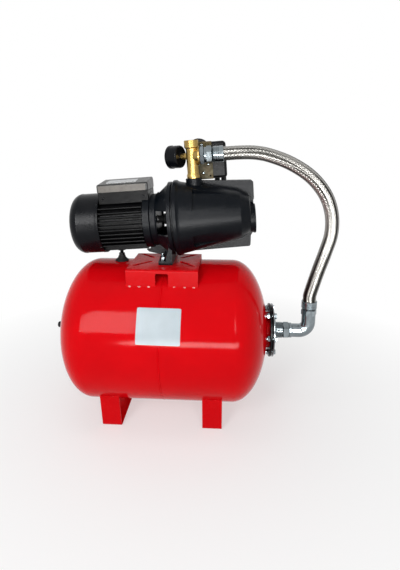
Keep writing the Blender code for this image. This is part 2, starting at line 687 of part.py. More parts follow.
def build_bracket():
    frame = PUMP @ ALONG_X
    rim_back = BRACKET_RIM - BRACKET_RIM_THICK
    wall = BRACKET_WALL
    shell = [(30 * MM, BRACKET_RIM), (BRACKET_RADIUS, BRACKET_RIM), (BRACKET_RADIUS, rim_back),
             (BRACKET_BACK_RADIUS, BRACKET_BACK + 12 * MM), (BRACKET_BACK_RADIUS, BRACKET_BACK),
             (SHIELD_RADIUS, BRACKET_BACK - 2 * MM), (SHIELD_RADIUS, MOTOR_FRONT + GAP),
             (MOTOR_BORE - GAP, MOTOR_FRONT + GAP), (MOTOR_BORE - 6 * MM, MOTOR_FRONT + 4 * MM),
             (BEARING_RADIUS + GAP, MOTOR_FRONT + 6 * MM),
             (BEARING_RADIUS + GAP, BEARING_FRONT + 7 * MM),
             (12 * MM, BEARING_FRONT + 7 * MM), (12 * MM, BRACKET_BACK + 10 * MM),
             (BRACKET_BACK_RADIUS - wall, BRACKET_BACK + 12 * MM),
             (BRACKET_RADIUS - 2.5 * wall, rim_back), (30 * MM, rim_back)]
    bracket = turned("motor_bracket", shell, frame, BLACK_CAST, loop=True)
    opening = boxes("bracket windows",
                    [((BRACKET_BACK + 16 * MM, -120 * MM, -WINDOW_HALF),
                      (rim_back - MM, 120 * MM, WINDOW_HALF)),
                     ((BRACKET_BACK + 16 * MM, -26 * MM, 0), (rim_back - MM, 26 * MM, 120 * MM))],
                    PUMP)
    boolean(bracket, opening)
    base = CONSOLE_TOP_Z + GAP
    pad = base + PUMP_FOOT_PAD
    x = TANK_X
    outline = [(x - 7 * MM, base), (x + 27 * MM, base), (x + 27 * MM, base + 48 * MM),
               (x + 20 * MM, base + 48 * MM), (x + 12 * MM, base + 20 * MM), (x + 11 * MM, pad),
               (x - 7 * MM, pad)]
    for side in (-1, 1):
        far = side * PUMP_FOOT_Y + PUMP_FOOT_WIDTH / 2
        foot = plate("bracket foot", outline, PUMP_FOOT_WIDTH, at(0, far, 0) @ AGAINST_Y,
                     tool=True)
        boolean(bracket, foot, "UNION")
    web_outline = [(x - 46 * MM, base + 26 * MM), (x - 40 * MM, base + 20 * MM),
                   (x + 14 * MM, base + 8 * MM), (x + 22 * MM, base + 10 * MM),
                   (x + 22 * MM, base + 40 * MM), (x - 10 * MM, base + 46 * MM),
                   (x - 34 * MM, base + 40 * MM), (x - 36 * MM, base + 27 * MM)]
    web = plate("bracket web", web_outline, 10 * MM, at(0, 5 * MM, 0) @ AGAINST_Y, tool=True)
    boolean(bracket, web, "UNION")
    tie = box("bracket foot tie", (x + 16 * MM, -PUMP_FOOT_Y, base),
              (x + 27 * MM, PUMP_FOOT_Y, base + 40 * MM), Matrix.Identity(4), tool=True)
    boolean(bracket, tie, "UNION")
    shaft_way = rod(40 * MM, rim_back - 30 * MM, BRACKET_RIM + MM)
    boolean(bracket, turned("bracket shaft way", shaft_way, frame, tool=True))
    places = [at(x + PUMP_BOLT_X, side * PUMP_FOOT_Y, 0) for side in (-1, 1)]
    holes = pins("bracket bolt holes", places, PUMP_BOLT_RADIUS + GAP, base - MM, pad + MM,
                 Matrix.Identity(4))
    boolean(bracket, holes)


def build_rotating():
    frame = PUMP @ ALONG_X
    shaft = [(0, 36 * MM), (6 * MM, 36 * MM), (6 * MM, -4 * MM), (SHAFT_RADIUS, -4 * MM),
             (SHAFT_RADIUS, BEARING_FRONT - 10 * MM), (10 * MM, BEARING_FRONT - 12 * MM),
             (10 * MM, BEARING_REAR + 12 * MM), (SHAFT_RADIUS, BEARING_REAR + 10 * MM),
             (SHAFT_RADIUS, -215 * MM), (6 * MM, -215 * MM), (6 * MM, -256 * MM), (0, -256 * MM)]
    turned("shaft", shaft, frame, STEEL)
    core = ring(10 * MM + GAP, ROTOR_RADIUS, ROTOR_REAR, ROTOR_FRONT)
    turned("rotor_core", core, frame, IRON, loop=True)

    hub = ring(6 * MM + GAP, 12 * MM, IMPELLER_U - 10 * MM, IMPELLER_U + 12 * MM)
    impeller = turned("impeller", hub, frame, BRASS, loop=True)
    back = turned("impeller disc", ring(9 * MM, IMPELLER_RADIUS, IMPELLER_U - 10 * MM,
                                        IMPELLER_U - 7 * MM), frame, loop=True, tool=True)
    boolean(impeller, back, "UNION")
    for i in range(IMPELLER_BLADES):
        turn = Matrix.Rotation(2 * math.pi * i / IMPELLER_BLADES, 4, "Z")
        inner = arc((10 * MM, -22 * MM), 33 * MM, 90, 12, 5)
        outer = arc((10 * MM, -22 * MM), 36 * MM, 12, 90, 5)
        blade = plate("impeller blade", inner + outer, 9 * MM,
                      frame @ turn @ at(0, 0, IMPELLER_U - 8 * MM), tool=True)
        boolean(impeller, blade, "UNION")

    hub = ring(6 * MM + GAP, 16 * MM, FAN_U - 12 * MM, FAN_U + 14 * MM)
    fan = turned("fan", hub, frame, BLACK_PLASTIC, loop=True)
    disc = ring(12 * MM, FAN_RADIUS - 8 * MM, FAN_U + 10 * MM, FAN_U + 12 * MM)
    boolean(fan, turned("fan disc", disc, frame, loop=True, tool=True), "UNION")
    for i in range(FAN_BLADES):
        turn = Matrix.Rotation(2 * math.pi * i / FAN_BLADES, 4, "Z")
        blade = box("fan blade", (13 * MM, -MM, FAN_U - 10 * MM), (FAN_RADIUS, MM, FAN_U + 11 * MM),
                    frame @ turn, tool=True)
        boolean(fan, blade, "UNION")


def build_fixed_inside():
    frame = PUMP @ ALONG_X
    packet = ring(STATOR_BORE, MOTOR_BORE - GAP, ROTOR_REAR + 2 * MM, ROTOR_FRONT - 2 * MM)
    stator = turned("stator", packet, frame, IRON, loop=True)
    for low in (ROTOR_FRONT - 4 * MM, ROTOR_REAR - 9 * MM):
        winding = [(36 * MM, low + 13 * MM), (50 * MM, low + 13 * MM), (52 * MM, low + 8 * MM),
                   (52 * MM, low + 5 * MM), (50 * MM, low), (36 * MM, low)]
        tool = turned("winding head", winding, frame, loop=True, tool=True)
        boolean(stator, tool, "UNION")
    half = BEARING_WIDTH / 2
    for name, centre in (("bearing_front", BEARING_FRONT), ("bearing_rear", BEARING_REAR)):
        race = ring(clear(SHAFT_RADIUS, BEARING_RADIUS), BEARING_RADIUS, centre - half, centre + half)
        turned(name, race, frame, STEEL, loop=True)
    seal = ring(SHAFT_RADIUS + 2.5 * MM, SEAL_PLATE_RADIUS, BRACKET_RIM + GAP, -CASING_FLANGE - GAP)
    turned("seal_plate", seal, frame, BLACK_CAST, loop=True)
    narrow = clear(6 * MM, 16 * MM)
    wide = clear(SHAFT_RADIUS, 16 * MM)
    rings = [(narrow, 11.5 * MM), (14 * MM, 11.5 * MM), (14 * MM, 3 * MM), (16 * MM, 2 * MM),
             (16 * MM, -CASING_FLANGE + GAP), (wide, -CASING_FLANGE + GAP),
             (wide, -3 * MM), (narrow, -3 * MM)]
    turned("mechanical_seal", rings, frame, RUBBER, loop=True)
    inside = casing_radius(44 * MM) - CASING_WALL - 5 * MM
    ejector = [(9 * MM, 148 * MM), (24 * MM, 148 * MM), (24 * MM, 132 * MM), (15 * MM, 126 * MM),
               (17 * MM, 60 * MM), (24 * MM, 50 * MM), (inside, 48 * MM), (inside, 42 * MM),
               (16 * MM, 42 * MM), (12 * MM, 60 * MM), (8 * MM, 110 * MM)]
    turned("ejector", ejector, frame, BLACK_PLASTIC, loop=True)


def build_motor_housing():
    frame = PUMP @ ALONG_X
    housing = turned("motor_housing", rod(MOTOR_TUBE, MOTOR_REAR, MOTOR_FRONT), frame, BLACK_ALLOY)
    spans = []
    half = FIN_THICK / 2
    for row in range(-5, 5):
        v = row * FIN_PITCH
        reach = math.sqrt(FIN_RADIUS ** 2 - v ** 2)
        spans.append(((MOTOR_REAR + MM, -reach, v - half), (MOTOR_FRONT - MM, reach, v + half)))
    side_fins = boxes("side fins", spans, PUMP)
    spans = []
    for row in range(-3, 4):
        y = row * FIN_PITCH
        reach = math.sqrt(FIN_RADIUS ** 2 - y ** 2)
        spans.append(((MOTOR_REAR + MM, y - half, -reach),
                      (MOTOR_FRONT - MM, y + half, -MOTOR_BORE + 8 * MM)))
    low_fins = boxes("lower fins", spans, PUMP)
    place = at(TANK_X + REST_X, 0, PUMP_Z)
    boss = turned("foot boss", rod(11 * MM, -85 * MM, -66 * MM), place, tool=True)
    group(housing, (side_fins, low_fins, boss))
    bore = rod(MOTOR_BORE, MOTOR_REAR - MM, MOTOR_FRONT + MM)
    boolean(housing, turned("motor bore", bore, frame, tool=True))
    screw_way = rod(clear(REST_STEM), -90 * MM, -72 * MM)
    boolean(housing, turned("foot screw bore", screw_way, place, tool=True))


def build_rear_shield():
    frame = PUMP @ ALONG_X
    back = MOTOR_REAR - GAP
    shield = [(BEARING_RADIUS + GAP, back + 6 * MM), (MOTOR_BORE - GAP, back + 6 * MM),
              (MOTOR_BORE - GAP, back), (COVER_RADIUS - COVER_WALL - GAP, back),
              (COVER_RADIUS - COVER_WALL - GAP, back - 7 * MM), (30 * MM, back - 9 * MM),
              (12 * MM, back - 9 * MM), (12 * MM, back - 4 * MM),
              (BEARING_RADIUS + GAP, back - 4 * MM)]
    turned("rear_shield", shield, frame, BLACK_ALLOY, loop=True)


def build_fan_cover():
    frame = PUMP @ ALONG_X
    centre = (COVER_RADIUS - COVER_ROUND, COVER_END + COVER_ROUND)
    outer = arc(centre, COVER_ROUND, 0, -90, 5)
    inner_round = COVER_ROUND - COVER_WALL
    inner = arc(centre, inner_round, -90, 0, 4)
    profile = ([(0, COVER_END + COVER_WALL)] + inner + [(COVER_RADIUS - COVER_WALL, COVER_OPEN),
               (COVER_RADIUS, COVER_OPEN)] + outer + [(0, COVER_END)])
    cover = turned("fan_cover", profile, frame, BLACK_SHEET)
    spans = []
    for row in range(-3, 4):
        y = row * 12 * MM
        reach = math.sqrt((46 * MM) ** 2 - y ** 2)
        for low, high in ((-reach, -3 * MM), (3 * MM, reach)):
            spans.append(((COVER_END - MM, y - 2 * MM, low),
                          (COVER_END + 12 * MM, y + 2 * MM, high)))
    boolean(cover, boxes("grille slots", spans, PUMP))


def build_terminal_box():
    base = box("terminal_box", (BOX_REAR, -BOX_HALF, BOX_LOW), (BOX_FRONT, BOX_HALF, BOX_SPLIT - GAP),
               PUMP, BLACK_ALLOY)
    frame = PUMP @ ALONG_X
    motor_cut = rod(clear(MOTOR_TUBE), MOTOR_REAR - MM, MOTOR_FRONT + 20 * MM)
    boolean(base, turned("motor saddle", motor_cut, frame, tool=True))
    shield_cut = rod(clear(SHIELD_RADIUS), MOTOR_FRONT, MOTOR_FRONT + 22 * MM)
    boolean(base, turned("shield saddle", shield_cut, frame, tool=True))
    hollow = BOX_WALL + 2 * MM
    room_low = SHIELD_RADIUS - 3 * MM
    room = box("box room", (BOX_REAR + BOX_WALL, -BOX_HALF + BOX_WALL, room_low),
               (MOTOR_FRONT - hollow, BOX_HALF - BOX_WALL, BOX_SPLIT + MM), PUMP, tool=True)
    boolean(base, room)
    outline = [(-BOX_HALF - LID_OVERHANG, BOX_SPLIT), (BOX_HALF + LID_OVERHANG, BOX_SPLIT),
               (BOX_HALF + LID_OVERHANG, LID_REAR_HIGH - 7 * MM), (BOX_HALF - 5 * MM, LID_REAR_HIGH),
               (-BOX_HALF + 3 * MM, LID_FRONT_HIGH + 2 * MM),
               (-BOX_HALF - LID_OVERHANG, LID_FRONT_HIGH)]
    length = BOX_FRONT - BOX_REAR + 2 * LID_OVERHANG
    turn = Matrix.Rotation(math.pi / 2, 4, "Z") @ Matrix.Rotation(math.pi / 2, 4, "X")
    lid_place = PUMP @ at(BOX_REAR - LID_OVERHANG, 0, 0) @ turn
    lid = plate("terminal_lid", outline, length, lid_place, GREY_LID)
    bevel(lid, 3 * MM, 2)
    inner = [(-BOX_HALF + BOX_WALL, BOX_SPLIT - MM), (BOX_HALF - BOX_WALL, BOX_SPLIT - MM),
             (BOX_HALF - BOX_WALL, LID_REAR_HIGH - 13 * MM),
             (-BOX_HALF + BOX_WALL, LID_FRONT_HIGH - 4 * MM)]
    room = plate("lid room", inner, length - 2 * (BOX_WALL + LID_OVERHANG),
                 PUMP @ at(BOX_REAR + BOX_WALL, 0, 0) @ turn, tool=True)
    boolean(lid, room)
    room_floor = room_low + GAP
    can = [(0, 60 * MM), (12 * MM, 60 * MM), (13 * MM, 58 * MM), (13 * MM, 0), (0, 0)]
    turned("capacitor", can, PUMP @ at(BOX_REAR + 10 * MM, 15 * MM, room_floor + 13 * MM) @ ALONG_X,
           WHITE)
    block = box("terminal_block", (-30 * MM, -10 * MM, 0), (30 * MM, 10 * MM, 12 * MM),
                PUMP @ at(-130 * MM, -20 * MM, room_floor), WHITE)
    bevel(block, MM, 1)
    gland_place = PUMP @ at(-130 * MM, BOX_HALF + GAP, 70 * MM) @ ALONG_Y
    gland = pins("cable_gland", HERE, 9 * MM, 0, 8 * MM, gland_place,
                 BLACK_PLASTIC, tool=False, sides=HEXAGON)
    dome = [(0, 18 * MM), (5 * MM, 18 * MM), (8 * MM, 13 * MM), (8 * MM, 7 * MM), (0, 7 * MM)]
    boolean(gland, turned("gland dome", dome, gland_place, tool=True), "UNION")


def build_motor_rest():
    """An adjusting screw under the motor with a rubber foot on the tank crest."""
    crest = TANK_CREST_Z + GAP
    place = at(TANK_X + REST_X, 0, 0)
    top = crest + REST_HEIGHT
    rubber = [(0, top), (8 * MM, top), (9 * MM, top - 3 * MM),
              (REST_RADIUS - 1.5 * MM, crest + 4 * MM), (REST_RADIUS, crest + 2 * MM),
              (REST_RADIUS, crest), (0, crest)]
    turned("rubber_foot", rubber, place, RUBBER)
    low = top + GAP
    stem = [(0, PUMP_Z - 73 * MM), (REST_STEM, PUMP_Z - 73 * MM), (REST_STEM, low + 6 * MM),
            (8 * MM, low + 6 * MM), (8 * MM, low), (0, low)]
    turned("motor_foot_screw", stem, place, BLACK_SHEET)


def build_five_way():
    body_profile = [(0, FIVE_TOP), (FIVE_COLLAR - MM, FIVE_TOP), (FIVE_COLLAR, FIVE_TOP - MM),
                    (FIVE_COLLAR, FIVE_COLLAR_LOW), (FIVE_RADIUS, FIVE_COLLAR_LOW - 2 * MM),
                    (FIVE_RADIUS, OUTLET_TOP + 12 * MM),
                    (FIVE_RADIUS + 1.5 * MM, OUTLET_TOP + 10 * MM),
                    (FIVE_RADIUS + 1.5 * MM, OUTLET_TOP + GAP), (0, OUTLET_TOP + GAP)]
    place = PUMP @ at(OUTLET_U, 0, 0)
    body = turned("five_way_fitting", body_profile, place @ spun(6), BRASS)
    reach = FIVE_PORT_END - OUTLET_U
    port = [(0, reach), (FIVE_PORT_RADIUS, reach), (FIVE_PORT_RADIUS, reach - 4 * MM),
            (FIVE_RADIUS + MM, 3 * MM), (0, 3 * MM)]
    centre = place @ at(0, 0, FIVE_PORT_V)
    hose_side = turned("hose port", port, centre @ ALONG_X @ spun(3), tool=True)
    gauge_axis = Matrix.Rotation(math.pi - GAUGE_TURN, 4, "Z") @ ALONG_X
    gauge_side = turned("gauge port", rod(SMALL_PORT_RADIUS, 0, SMALL_PORT_REACH),
                        centre @ gauge_axis @ spun(5), tool=True)
    switch_side = turned("switch port", rod(SMALL_PORT_RADIUS, 0, SMALL_PORT_REACH + 4 * MM),
                         centre @ ALONG_Y @ spun(8), tool=True)
    group(body, (hose_side, gauge_side, switch_side))
    boolean(body, turned("run bore", rod(FIVE_BORE, OUTLET_TOP - MM, FIVE_TOP + MM),
                         place @ spun(11), tool=True))
    boolean(body, turned("hose port bore", rod(FIVE_BORE - MM, 0, reach + MM),
                         centre @ ALONG_X @ spun(13), tool=True))
    return centre, gauge_axis


def build_gauge(centre, axis):
    frame = centre @ axis
    start = SMALL_PORT_REACH + GAP
    back = GAUGE_START
    front = back + GAUGE_DEPTH
    wall = GAUGE_WALL
    stem = [(0, back - GAP), (7 * MM, back - GAP), (7 * MM, start + 2 * MM), (6 * MM, start),
            (0, start)]
    turned("gauge_stem", stem, frame, BRASS, sides=HEXAGON)
    room = GAUGE_RADIUS - MM - wall
    case = [(0, back + wall), (GAUGE_RADIUS - 5 * MM, back + wall), (room, back + 5 * MM),
            (room, front - 3 * MM), (GAUGE_RADIUS - 4 * MM, front - 2 * MM),
            (GAUGE_RADIUS - 4 * MM, front),
            (GAUGE_RADIUS - MM, front), (GAUGE_RADIUS, front - MM), (GAUGE_RADIUS, front - 6 * MM),
            (GAUGE_RADIUS - MM, front - 7 * MM), (GAUGE_RADIUS - MM, back + 4 * MM),
            (GAUGE_RADIUS - 5 * MM, back), (0, back)]
    turned("gauge_case", case, frame, BLACK_SHEET)
    dial_top = front - 9 * MM
    dial = [(2 * MM, dial_top), (GAUGE_RADIUS - 4 * MM, dial_top),
            (GAUGE_RADIUS - 4 * MM, dial_top - MM), (6 * MM, dial_top - MM),
            (6 * MM, back + wall + GAP), (2 * MM, back + wall + GAP)]
    turned("gauge_dial", dial, frame, WHITE, loop=True)
    window = rod(GAUGE_RADIUS - MM - wall - GAP, front - 5.5 * MM, front - 3.3 * MM)
    turned("gauge_window", window, frame, CLEAR)
    hand_low = dial_top + 0.6 * MM
    place = frame @ at(0, 0, hand_low)
    hand = [(-9 * MM, -1.6 * MM), (4 * MM, -1.2 * MM), (21 * MM, -0.4 * MM), (21 * MM, 0.4 * MM),
            (4 * MM, 1.2 * MM), (-9 * MM, 1.6 * MM)]
    pointer = plate("gauge_pointer", hand, 0.8 * MM, place, BLACK_SHEET)
    pivot = turned("pointer pivot", rod(1.6 * MM, -8 * MM, 1.6 * MM), place, tool=True)
    boolean(pointer, pivot, "UNION")


def build_switch(centre):
    near = SWITCH_PLATE_Y
    far = near + SWITCH_PLATE_THICK
    base = box("switch_base", (SWITCH_REAR_U, near, SWITCH_LOW),
               (SWITCH_PLATE_FRONT_U, far, SWITCH_HIGH - 4 * MM), PUMP, GOLD_ZINC)
    bevel(base, 1.2 * MM, 1)
    nipple_place = centre @ ALONG_Y
    start = SMALL_PORT_REACH + 4 * MM + GAP
    nipple = [(0, near - GAP), (8.5 * MM, near - GAP), (8.5 * MM, near - 8 * MM),
              (6.5 * MM, near - 9 * MM), (6.5 * MM, start), (0, start)]
    turned("switch_nipple", nipple, nipple_place, ZINC, sides=HEXAGON)
    cover_low = far + GAP
    cover = box("switch_cover", (SWITCH_REAR_U, cover_low, SWITCH_LOW),
                (SWITCH_FRONT_U, cover_low + SWITCH_DEPTH, SWITCH_HIGH), PUMP, BLACK_PLASTIC)
    bevel(cover, 8 * MM, 3)
    wall = SWITCH_WALL
    room = box("switch room", (SWITCH_REAR_U + 3 * wall, cover_low - MM, SWITCH_LOW + 3 * wall),
               (SWITCH_PLATE_FRONT_U - wall, cover_low + SWITCH_DEPTH - 2 * wall,
                SWITCH_HIGH - 4 * wall), PUMP, tool=True)
    boolean(cover, room)
    for name, v, radius, length in (("switch_spring_main", 150 * MM, 9 * MM, 30 * MM),
                                    ("switch_spring_difference", 120 * MM, 6 * MM, 22 * MM)):
        place = PUMP @ at(70 * MM, cover_low, v) @ ALONG_Y
        stem = turned(name, ring(radius - 2 * MM, radius, GAP, length), place, STEEL, loop=True)
        stud = turned(name + " stud", rod(3 * MM, GAP, length + 9 * MM), place, tool=True)
        nut = pins(name + " nut", HERE, radius + 2 * MM, length - MM, length + 6 * MM, place,
                   sides=HEXAGON)
        group(stem, (nut, stud))
    block = box("switch_contacts", (56 * MM, cover_low + GAP, 165 * MM),
                (86 * MM, cover_low + 26 * MM, 182 * MM), PUMP, WHITE)
    bevel(block, MM, 1)
    places = [at(u, 0, 0) for u in (104 * MM, 121 * MM)]
    gland_frame = PUMP @ at(0, cover_low + 27 * MM, SWITCH_LOW)
    glands = pins("gland nuts", places, 7 * MM, -8 * MM, 10 * MM, gland_frame, sides=HEXAGON)
    domes = pins("gland ends", places, 6 * MM, -15 * MM, -6 * MM, gland_frame)
    group(cover, (glands, domes))


def ferrule_profile():
    """A crimped sleeve whose solid end sits on a fitting and whose face meets the hose."""
    shoulder = 3 * MM
    return [(0, FERRULE_LENGTH), (FERRULE_RADIUS - MM, FERRULE_LENGTH),
            (FERRULE_RADIUS, FERRULE_LENGTH - MM), (FERRULE_RADIUS, shoulder),
            (FERRULE_RADIUS - shoulder, 0), (0, 0)]


def build_hose_fittings():
    frame = PUMP @ at(0, 0, FIVE_PORT_V) @ ALONG_X
    start = FIVE_PORT_END + GAP
    nipple = pins("hose_nipple", [Matrix.Rotation(math.pi / 6, 4, "Z")], 23 * MM, start, start + 11 * MM,
                  frame, ZINC, tool=False, sides=HEXAGON)
    neck = pins("nipple neck", HERE, 15 * MM, start + 10 * MM, start + 22 * MM, frame)
    boolean(nipple, neck, "UNION")
    boolean(nipple, pins("nipple bore", HERE, FIVE_BORE, start - MM, start + 24 * MM, frame))
    nut_start = start + 11 * MM + GAP
    nut = pins("hose_nut", HERE, HOSE_NUT_RADIUS, nut_start + 4 * MM, nut_start + 19 * MM, frame,
               ZINC, tool=False, sides=HEXAGON)
    collar = pins("hose nut collar", HERE, 19 * MM, nut_start, nut_start + 5 * MM, frame)
    boolean(nut, collar, "UNION")
    boolean(nut, pins("hose nut bore", HERE, clear(15 * MM), nut_start - MM, nut_start + 14 * MM,
                      frame))
    boolean(nut, pins("hose nut way", HERE, FIVE_BORE - 2 * MM, nut_start, nut_start + 21 * MM,
                      frame))
    ferrule_start = HOSE_START - GAP - FERRULE_LENGTH
    turned("ferrule_top", ferrule_profile(), frame @ at(0, 0, ferrule_start), ZINC)

    stub = TANK @ ALONG_X
    elbow_nut_low = STUB_END + GAP
    elbow_nut_high = elbow_nut_low + ELBOW_NUT_LENGTH
    elbow_nut = pins("elbow_nut", HERE, 23 * MM, elbow_nut_low, elbow_nut_high, stub, ZINC,
                     tool=False, sides=HEXAGON)
    boolean(elbow_nut, pins("elbow nut bore", HERE, WATER_BORE, elbow_nut_low - MM,
                            elbow_nut_high + MM, stub))
    leg = turned("elbow", rod(ELBOW_RADIUS - 2 * MM, elbow_nut_high + GAP, ELBOW_X), stub, ZINC)
    corner = at(TANK_X + ELBOW_X, 0, TANK_AXIS_Z)
    rise = HOSE_END_Z - TANK_AXIS_Z - FERRULE_LENGTH - 2 * GAP
    ball_radius = ELBOW_RADIUS - 0.7 * MM
    ball_profile = [(ball_radius * math.sin(math.pi * i / 8), ball_radius * math.cos(math.pi * i / 8))
                    for i in range(9)]
    ball_place = corner @ spun(8)
    ball = turned("elbow corner", ball_profile, ball_place, tool=True)
    up = turned("elbow rise", rod(ELBOW_RADIUS - 2 * MM, 0, rise), corner, tool=True)
    collar = turned("elbow collar", rod(ELBOW_RADIUS, rise - 16 * MM, rise), corner,
                    sides=HEXAGON, tool=True)
    group(leg, (ball, up, collar))
    leg_bore = rod(WATER_BORE - 2 * MM, elbow_nut_high - MM, ELBOW_X + 3 * MM)
    boolean(leg, turned("elbow bore", leg_bore, stub, tool=True))
    rise_bore = rod(WATER_BORE - 3 * MM, -5 * MM, rise + MM)
    boolean(leg, turned("elbow rise bore", rise_bore, corner, tool=True))
    low = HOSE_END_Z - FERRULE_LENGTH - GAP
    turned("ferrule_bottom", ferrule_profile(), at(TANK_X + ELBOW_X, 0, low), ZINC)


def hose_route():
    """Hand picked points of the hose centreline, counted from its end on the elbow."""
    start = PUMP @ Vector((HOSE_START, 0, FIVE_PORT_V))
    lead = PUMP @ Vector((HOSE_START + 30 * MM, 0, FIVE_PORT_V))
    middle = [(-153, 378.5), (-113, 371), (-61, 351), (-12, 319), (24, 276), (42, 228), (44, 178),
              (32, 129), (19, 86), (9, 50)]
    tail = Vector((TANK_X + ELBOW_X, 0, HOSE_END_Z))
    points = [start, lead]
    points += [tail + Vector((x * MM, 0, z * MM)) for x, z in middle]
    return points + [tail + Vector((0, 0, 14 * MM)), tail]


def smooth_points(points, count):
    """Even steps along a Catmull-Rom curve, with straight leads at both ends."""
    dense = []
    for i in range(len(points) - 3):
        a, b, c, d = points[i:i + 4]
        for j in range(20):
            t = j / 20
            dense.append(0.5 * (2 * b + (c - a) * t + (2 * a - 5 * b + 4 * c - d) * t ** 2
                                + (3 * b - a - 3 * c + d) * t ** 3))
    dense.append(points[-2])
    lengths = [0.0]
    for before, after in zip(dense, dense[1:]):
        lengths.append(lengths[-1] + (after - before).length)
    picked = [points[0]]
    index = 0
    for i in range(count + 1):
        goal = lengths[-1] * i / count
        while index < len(dense) - 2 and lengths[index + 1] < goal:
            index += 1
        span = lengths[index + 1] - lengths[index]
        picked.append(dense[index].lerp(dense[index + 1], (goal - lengths[index]) / span))
    return picked + [points[-1]]


def build_hose():
    curve = bpy.data.curves.new("hose", "CURVE")
    curve.dimensions = "3D"
    curve.bevel_depth = HOSE_RADIUS - MM
    curve.bevel_resolution = 3
    curve.use_fill_caps = True
    spline = curve.splines.new("POLY")
    points = smooth_points(hose_route(), 20)
    spline.points.add(len(points) - 1)
    for slot, point in zip(spline.points, points):
        slot.co = (*point, 1)
    return add_object("hose", curve, Matrix.Identity(4), BRAID)


def build_tank_cutter():
    """The tank's outer form with its seam, grown by the gap, to trim what is welded on."""
    radius = TANK_RADIUS + GAP
    half = SEAM_WIDTH / 2 + GAP
    seam = [(radius, half), (radius + SEAM_PROUD, half / 2 + GAP),
            (radius + SEAM_PROUD, -half / 2 - GAP), (radius, -half)]
    profile = [(0, TANK_HALF), (radius, TANK_HALF)] + seam + [(radius, -TANK_HALF), (0, -TANK_HALF)]
    return turned("tank cutter", profile, TANK @ ALONG_X, tool=True)


def main():
    tank_cutter = build_tank_cutter()
    build_tank_shell()
    build_flange_set()
    build_air_valve()
    build_feet(tank_cutter)
    places = build_console(tank_cutter)
    build_pump_fasteners(places)
    build_casing()
    build_plugs()
    build_bracket()
    build_rotating()
    build_fixed_inside()
    build_motor_housing()
    build_rear_shield()
    build_fan_cover()
    build_terminal_box()
    build_motor_rest()
    centre, gauge_axis = build_five_way()
    build_gauge(centre, gauge_axis)
    build_switch(centre)
    build_hose_fittings()
    build_hose()


main()
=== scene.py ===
import json
import math
import random

import bmesh
import bpy
from mathutils import Matrix, Vector


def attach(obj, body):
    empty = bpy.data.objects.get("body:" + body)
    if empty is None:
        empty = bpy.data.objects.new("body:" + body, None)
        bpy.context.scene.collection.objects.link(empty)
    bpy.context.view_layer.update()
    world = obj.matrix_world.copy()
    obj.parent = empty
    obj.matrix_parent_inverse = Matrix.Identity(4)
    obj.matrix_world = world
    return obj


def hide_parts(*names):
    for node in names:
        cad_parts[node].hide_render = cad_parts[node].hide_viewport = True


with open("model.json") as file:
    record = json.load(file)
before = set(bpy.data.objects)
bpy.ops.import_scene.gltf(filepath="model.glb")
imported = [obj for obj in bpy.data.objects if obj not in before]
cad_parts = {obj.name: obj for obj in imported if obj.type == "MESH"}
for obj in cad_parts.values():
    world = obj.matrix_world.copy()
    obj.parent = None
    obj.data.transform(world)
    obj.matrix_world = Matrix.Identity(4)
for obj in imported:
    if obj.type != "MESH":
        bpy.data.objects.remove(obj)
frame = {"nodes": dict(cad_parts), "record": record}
nodes = frame["nodes"]
bodyOf = {n: body for body, members in frame["record"]["behaviour"]["bodies"].items() for n in members}
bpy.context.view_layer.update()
mm = 0.001  # every size below is in millimetres

# Where things stand, as in the model: X along the tank, Z up
layout = {"tankX": -49.5, "tankZ": 228.4, "pumpX": -12.9, "pumpZ": 528.0, "tilt": 4.0}


def spot(x, y, z):
    return Matrix.Translation((x * mm, y * mm, z * mm))


def turn(degrees, axis="Z"):
    return Matrix.Rotation(math.radians(degrees), 4, axis)


alongX = turn(90, "Y")
alongY = turn(-90, "X")
againstY = turn(90, "X")
tank = spot(layout["tankX"], 0, layout["tankZ"])
tankLine = tank @ alongX
pump = spot(layout["pumpX"], 0, layout["pumpZ"]) @ turn(-layout["tilt"], "Y")
pumpLine = pump @ alongX


def addObject(name, data, place=Matrix.Identity(4)):
    item = bpy.data.objects.new(name, data)
    bpy.context.scene.collection.objects.link(item)
    item.matrix_world = place
    return item


# Camera at the photograph's viewing angle, worked out for an image of 400 x 570
cameraSet = {"place": (104.4, -1072.7, 706.9), "yaw": -0.071, "pitch": 0.224, "roll": 0.004,
             "focal": 427.33, "centre": (194.32, 243.32), "image": (400, 570), "sensor": 36.0}


def makeCamera(s):
    yaw, pitch, roll = s["yaw"], s["pitch"], s["roll"]
    ahead = Vector((math.sin(yaw) * math.cos(pitch), math.cos(yaw) * math.cos(pitch), -math.sin(pitch)))
    level = Vector((math.cos(yaw), -math.sin(yaw), 0))
    below = ahead.cross(level)
    right = level * math.cos(roll) + below * math.sin(roll)
    down = below * math.cos(roll) - level * math.sin(roll)
    data = bpy.data.cameras.new("photoCamera")
    wide, high = s["image"]
    data.sensor_width = s["sensor"]
    data.lens = s["focal"] * s["sensor"] / high
    data.shift_x = (wide / 2 - s["centre"][0]) / high
    data.shift_y = (s["centre"][1] - high / 2) / high
    data.clip_start = 0.05
    turned = Matrix((right, -down, -ahead)).transposed().to_4x4()
    bpy.context.scene.camera = addObject("photoCamera", data, spot(*s["place"]) @ turned)


makeCamera(cameraSet)
print("camera ready")


# Shader helpers
class Wire:
    def __init__(self, board, socket):
        self.board = board
        self.socket = socket

    def __add__(self, other):
        return self.board.maths("ADD", self, other)

    def __sub__(self, other):
        return self.board.maths("SUBTRACT", self, other)

    def __rsub__(self, other):
        return self.board.maths("SUBTRACT", other, self)

    def __mul__(self, other):
        return self.board.maths("MULTIPLY", self, other)

    __radd__ = __add__
    __rmul__ = __mul__


